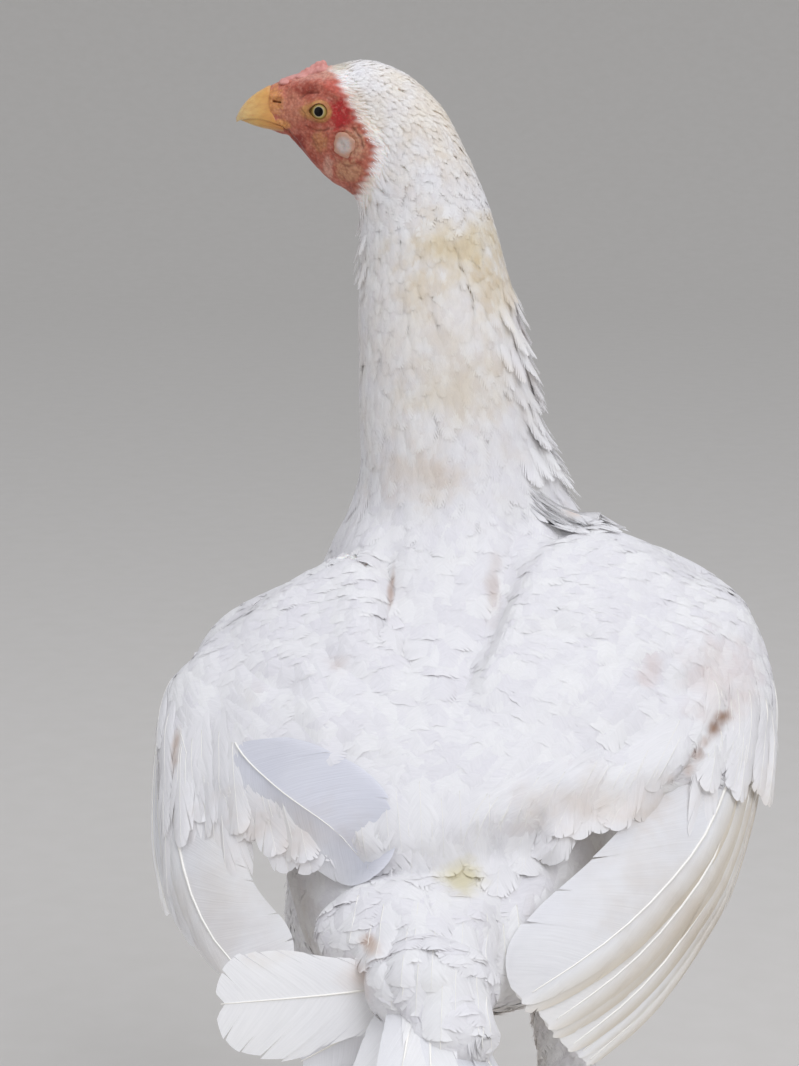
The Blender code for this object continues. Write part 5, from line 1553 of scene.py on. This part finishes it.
def buildComb():  # a low pea comb: rows of knobs on a fleshy base, tallest at the back, grown into each other
    draw = np.random.default_rng(5)
    parts = []
    for offset, count, size in combForm["rows"]:
        for k in range(count):
            t = (k + draw.uniform(-0.15, 0.15)) / (count - 1)
            x = combForm["front"] + (combForm["back"] - combForm["front"]) * t
            above = Vector((x, headForm["middle"] + offset + draw.normal(0, 0.25), headForm["over"]))
            spot, out, _, _ = headSurface.ray_cast(above, Vector((0, 0, -1)))
            tall = float(np.interp(x, *zip(*combForm["heights"]))) * (1 if offset == 0 else 0.55)
            grow = size * (0.62 + 0.5 * tall) * draw.uniform(0.88, 1.12)
            centre = np.array(spot) + np.array(out if out.z > 0 else -out) * (tall * 3.1 - 0.7)
            knob, foot = (grow, grow * 0.85, grow * (0.9 + 0.5 * tall)), (3.4, 2.8, 1.3 + tall * 1.4)
            points, quads, tris = closedGrid(ballGrid(centre, knob, 14, 20))
            parts.append((lumpy(points, centre, 1.6, 0.35, k + offset), quads, tris))
            parts.append(closedGrid(ballGrid(np.array(spot) - up * 0.8, foot, 10, 16)))
    mesh = fused(parts, 0.35, 16)
    mesh.name = "peaComb"
    mesh.materials.append(redFlesh)
    mesh.shade_smooth()
    addPiece("peaComb", mesh, "skin", "comb")


# Profiles of the beak, x and z in mm from the skin to the tip, with half widths
beakForm = {
    "upper": {"ridge": ((88.6, 570.0), (91.5, 574.0), (93.6, 582.0), (95.3, 587.0), (99.5, 585.3),
                        (103.5, 582.8), (107.2, 579.6), (110.3, 575.6), (112.2, 571.8)),
              "edge": ((88.6, 568.0), (91.5, 569.3), (93.6, 570.2), (95.3, 570.9), (99.5, 571.8),
                       (103.5, 572.0), (107.2, 571.7), (110.3, 570.9), (112.0, 569.9)),
              "widths": (8.2, 8.7, 8.9, 8.5, 7.6, 6.3, 4.8, 2.9, 0.8)},
    "lower": {"ridge": ((88.6, 567.6), (91.5, 568.9), (95.3, 570.5), (99.5, 571.4), (103.5, 571.6),
                        (107.2, 571.3), (109.6, 570.8)),
              "edge": ((88.6, 565.0), (91.5, 565.4), (95.3, 566.2), (99.5, 567.0), (103.5, 568.1),
                       (107.2, 569.5), (109.6, 570.4)),
              "widths": (7.8, 7.9, 7.5, 6.6, 5.0, 2.8, 0.8)},
}


def buildBeak(name):
    form = beakForm[name]
    count, around = 56, 48
    rows = throughRows(np.column_stack([form["ridge"], form["edge"], form["widths"]]), count)
    ridge, edge, wide = rows[:, 0:2], rows[:, 2:4], rows[:, 4]
    crown, base = (ridge, edge) if name == "upper" else (edge, ridge)
    turn = np.linspace(0, 2 * math.pi, around, endpoint=False)
    arch = np.where(np.sin(turn) > 0, np.abs(np.sin(turn)) ** 0.92, -0.10 * np.abs(np.sin(turn)))
    across = np.sign(np.cos(turn)) * np.abs(np.cos(turn)) ** 0.82
    grid = np.zeros((count, around, 3))
    grid[..., 0] = base[:, None, 0] + (crown - base)[:, None, 0] * arch[None]
    grid[..., 2] = base[:, None, 1] + (crown - base)[:, None, 1] * arch[None]
    grid[..., 1] = headForm["middle"] + wide[:, None] * across[None]
    points, quads, tris = closedGrid(grid)
    middle = np.array([92, headForm["middle"], 575])
    points = lumpy(points, middle, 1.4, 0.10, 4)
    addPiece("beak" + name.capitalize(), newMesh("beak" + name.capitalize(), points, quads, tris, [hornBeak]),
             "beak", "beak_" + name)


for name, side in sides.items():
    buildEye(name, side)
    buildLobe(name, side)
buildComb()
for name in beakForm:
    buildBeak(name)
print("head made")

# Legs: shanks and toes with overlapping plates in front and small scales behind

legForm = {
    "hock": (51, 24, 122), "ankle": (48, -14, 17),
    # share from hock to ankle, half width, half depth
    "shank": ((-0.10, 6.5, 7.5), (-0.04, 9.6, 10.6), (0.05, 10.0, 11.2), (0.14, 8.0, 9.4), (0.30, 6.5, 8.2),
              (0.60, 6.3, 7.8), (0.86, 7.2, 8.4), (0.97, 9.0, 9.2), (1.07, 8.0, 8.0)),
    # heading from straight ahead outwards, length, radius at the root
    "toes": {"inner": (-31, 47, 5.6), "middle": (4, 64, 6.0), "outer": (39, 50, 5.6), "hind": (166, 22, 4.8)},
    "taper": 0.36, "claw": 15,
    "clawShape": ((0.0, 1.0), (0.2, 0.95), (0.4, 0.8), (0.7, 0.5), (0.9, 0.22), (1.0, 0.06)),
}


def plates(down, turn, pitch, tall):
    # Two columns of overlapping plates in front and small scales behind. down in mm, turn from the front.
    column = np.where(turn > 0, 0.5, 0.0)
    share = (down / pitch + column) % 1
    front = tall * (0.15 + 0.85 * share ** 0.8) * ease(1.0, 0.93, share)
    front -= tall * 0.8 * np.exp(-(turn / 0.07) ** 2)
    edge = ease(1.75, 1.45, np.abs(turn))
    small = pitch * 0.42
    row = np.floor(down / small)
    cellDown, cellTurn = (down / small) % 1 - 0.5, ((turn * 7.5 / small + 0.5 * (row % 2)) % 1) - 0.5
    back = tall * 0.6 * ease(0.6, 0.25, np.hypot(cellDown, cellTurn))
    return front * edge + back * (1 - edge)


def buildShank(name, side):
    hock, ankle = (np.array(legForm[k], float) * (side, 1, 1) for k in ("hock", "ankle"))
    down = unit(ankle - hock)
    front = unit(np.array([0, -1.0, 0]) + down * down[1])
    across = np.cross(front, down)
    count, around = 260, 110
    rows = throughRows(legForm["shank"], count)
    length = np.linalg.norm(ankle - hock)
    turn = fullTurn(around, -math.pi)
    reach = rows[:, :1] * length
    relief = plates(reach + 0.0 * turn, turn, 8.4, 0.75) * ease(-0.02, 0.12, rows[:, :1])
    shape = front * np.cos(turn)[..., None] * (rows[:, 2:3] + relief)[..., None]
    shape = shape + across * np.sin(turn)[..., None] * (rows[:, 1:2] + relief)[..., None]
    grid = (hock + down * reach)[:, None] + shape
    addPiece("shank" + name.capitalize(),
             newMesh("shank" + name.capitalize(), *closedGrid(grid[:, ::-side]), [yellowScale]),
             "scale", "shank_" + name)


def toeGrid(side, heading, length, radius, count, around):
    angle = math.radians(heading)
    along = np.array([side * math.sin(angle), -math.cos(angle), 0])
    across = np.cross(along, up)
    joints = 3 if length > 30 else 1
    t = np.linspace(0, 1, count)[:, None]
    plain = radius * (1 - legForm["taper"] * t) * (1 + 0.07 * np.cos(t * joints * 2 * math.pi + math.pi))
    plain = plain * np.sqrt(np.clip((1.04 - t) / 0.12, 0.05, 1))
    turn = fullTurn(around, -math.pi)
    share = (t * length / 3.6) % 1
    relief = 0.5 * (0.2 + 0.8 * share) * ease(1.0, 0.9, share) * ease(1.5, 0.9, np.abs(turn))
    under = ease(1.3, 2.0, np.abs(turn))
    pads = 0.35 * np.abs(np.sin(t * length / 1.6 * math.pi)) * np.abs(np.sin(turn * 6)) * under
    size = plain + relief + pads
    start = np.array([side * legForm["ankle"][0], legForm["ankle"][1], 0.0])
    centre = start + along * length * t + up * (plain * 0.86 + np.maximum(0, 1 - t * 4) * 4.0)
    grid = centre[:, None] + up * (np.cos(turn) * size)[..., None] + across * (np.sin(turn) * size)[..., None]
    grid[..., 2] = np.maximum(grid[..., 2], 0.0)
    return grid[:, ::-1], along, across, start


def buildFoot(name, side):
    sole = ballGrid((side * legForm["ankle"][0], legForm["ankle"][1], 6.0), (10.5, 11, 8.6), 40, 60)
    sole[..., 2] = np.maximum(sole[..., 2], 0.0)
    parts = [closedGrid(sole)]
    parts[0] = (lumpy(parts[0][0], (side * 48, -14, 6), 1.6, 0.5, 2), *parts[0][1:])
    parts[0][0][:, 2] = np.maximum(parts[0][0][:, 2], 0.0)
    for toe, (heading, length, radius) in legForm["toes"].items():
        grid, along, across, start = toeGrid(side, heading, length, radius, 150 if length > 30 else 60, 44)
        parts.append(closedGrid(grid))
        size, reach = radius * 0.5, legForm["claw"] * (1 if length > 30 else 0.75)
        rows = throughRows(legForm["clawShape"], 30)
        t, thick = rows[:, :1], rows[:, 1:]
        root = start + along * (length - 2.2) + up * (size + 0.5)
        centre = root + along * reach * t + up * (1.0 * np.sin(math.pi * t) - 2.2 * t * t)
        turn = np.linspace(0, 2 * math.pi, 24, endpoint=False)[None]
        keel = 1 + 0.12 * np.cos(turn)
        ring = up * (np.cos(turn) * size * thick * keel)[..., None]
        ring = ring + across * (np.sin(turn) * size * 0.8 * thick)[..., None]
        claw = newMesh("claw" + toe, *closedGrid((centre[:, None] + ring)[:, ::-1]), [paleClaw])
        addPiece("claw" + name.capitalize() + toe.capitalize(), claw, "claw", f"claw_{name}_{toe}")
    addPiece("foot" + name.capitalize(), newMesh("foot" + name.capitalize(), *gather(parts), [yellowScale]),
             "scale", "foot_" + name)


for name, side in sides.items():
    buildShank(name, side)
    buildFoot(name, side)
print("legs made")

# Floor, light and camera

studio = {
    # floor: flat radius, then a bend of this radius up to an angle; all round, so that every view sees paper
    "hole": 300, "near": 1500, "flat": 4000, "bend": 3000, "angle": 72, "steps": 19, "around": 128,
    "lamps": (  # name, watts, size, place, colour
        ("key", 21, 1.3, (-1.0, 1.3, 1.7), "#f4f6ff"),
        ("fill", 6, 1.6, (1.5, 1.2, 0.9), "#e9efff"),
        ("top", 8, 1.4, (0.0, -0.1, 2.0), "#f6f8ff"),
    ),
    "aim": (0, 0, 0.35), "sky": "#eceff6", "skyStrength": 0.72,
}


def buildStudio():
    paper, tree, shader = newMaterial("matPaper", 0.9)  # pale backdrop paper, rolled, with soft fibres
    where = addNode(tree, "TexCoord", give="Object")
    fibres = addNode(tree, "TexNoise", {"Vector": where, "Scale": 40.0, "Detail": 5.0})
    colour = addNode(tree, "Mix", {0: fibres, 6: linear("#c9c5be"), 7: linear("#cfcbc5")}, 2,
                     data_type="RGBA")
    tree.links.new(colour, shader.inputs["Base Color"])
    bend, flat = studio["bend"], studio["flat"]
    climb = [(flat + bend * math.sin(a), bend * (1 - math.cos(a)))
             for a in np.radians(np.linspace(0, studio["angle"], studio["steps"]))]
    rows = np.array([(studio["hole"], 0), (studio["near"], 0)] + climb)
    turn = fullTurn(studio["around"])
    grid = np.stack([rows[:, :1] * np.cos(turn), rows[:, :1] * np.sin(turn), rows[:, 1:] + 0 * turn],
                    -1) - (0, 0, shift[2])
    index = np.arange(grid[..., 0].size).reshape(grid.shape[:2])
    turned = np.roll(index, -1, 1)
    quads = np.stack([index[:-1], index[1:], turned[1:], turned[:-1]], -1)
    middle = np.full(index.shape[1], index.size)
    tris = np.stack([middle, index[0], turned[0]], -1)
    floor = newMesh("floor", np.concatenate([grid.reshape(-1, 3), [(0, 0, -shift[2])]]), quads, tris, [paper])
    stage = bpy.data.objects.new("floor", floor)
    bpy.context.scene.collection.objects.link(stage)
    for name, watts, size, where, code in studio["lamps"]:
        light = bpy.data.lights.new(name, "AREA")
        light.energy, light.size, light.color = watts, size, linear(code)[:3]
        lamp = bpy.data.objects.new(name, light)
        lamp.location = where
        lamp.rotation_euler = (Vector(studio["aim"]) - Vector(where)).to_track_quat("-Z", "Y").to_euler()
        bpy.context.scene.collection.objects.link(lamp)
    world = bpy.data.worlds.new("studio")
    world.use_nodes = True
    sky = world.node_tree.nodes["Background"]
    sky.inputs["Color"].default_value = linear(studio["sky"])
    sky.inputs["Strength"].default_value = studio["skyStrength"]
    bpy.context.scene.world = world
    bpy.context.scene.view_settings.view_transform = "Standard"


cameraView = {"turn": 184, "rise": 12, "distance": 1150, "target": (26.5, 0, 390), "lens": 85.355,
              "sensor": 36}


def buildCamera():
    turn, rise = math.radians(cameraView["turn"]), math.radians(cameraView["rise"])
    back = Vector((math.sin(turn) * math.cos(rise), -math.cos(turn) * math.cos(rise), math.sin(rise)))
    made = bpy.data.cameras.new("camera")
    made.lens, made.sensor_width = cameraView["lens"], cameraView["sensor"]
    camera = bpy.data.objects.new("camera", made)
    target = Vector((np.array(cameraView["target"]) + shift) * mm)
    camera.location = target + back * cameraView["distance"] * mm
    camera.rotation_euler = (-back).to_track_quat("-Z", "Y").to_euler()
    bpy.context.scene.collection.objects.link(camera)
    bpy.context.scene.camera = camera


buildStudio()
buildCamera()
print("studio made")
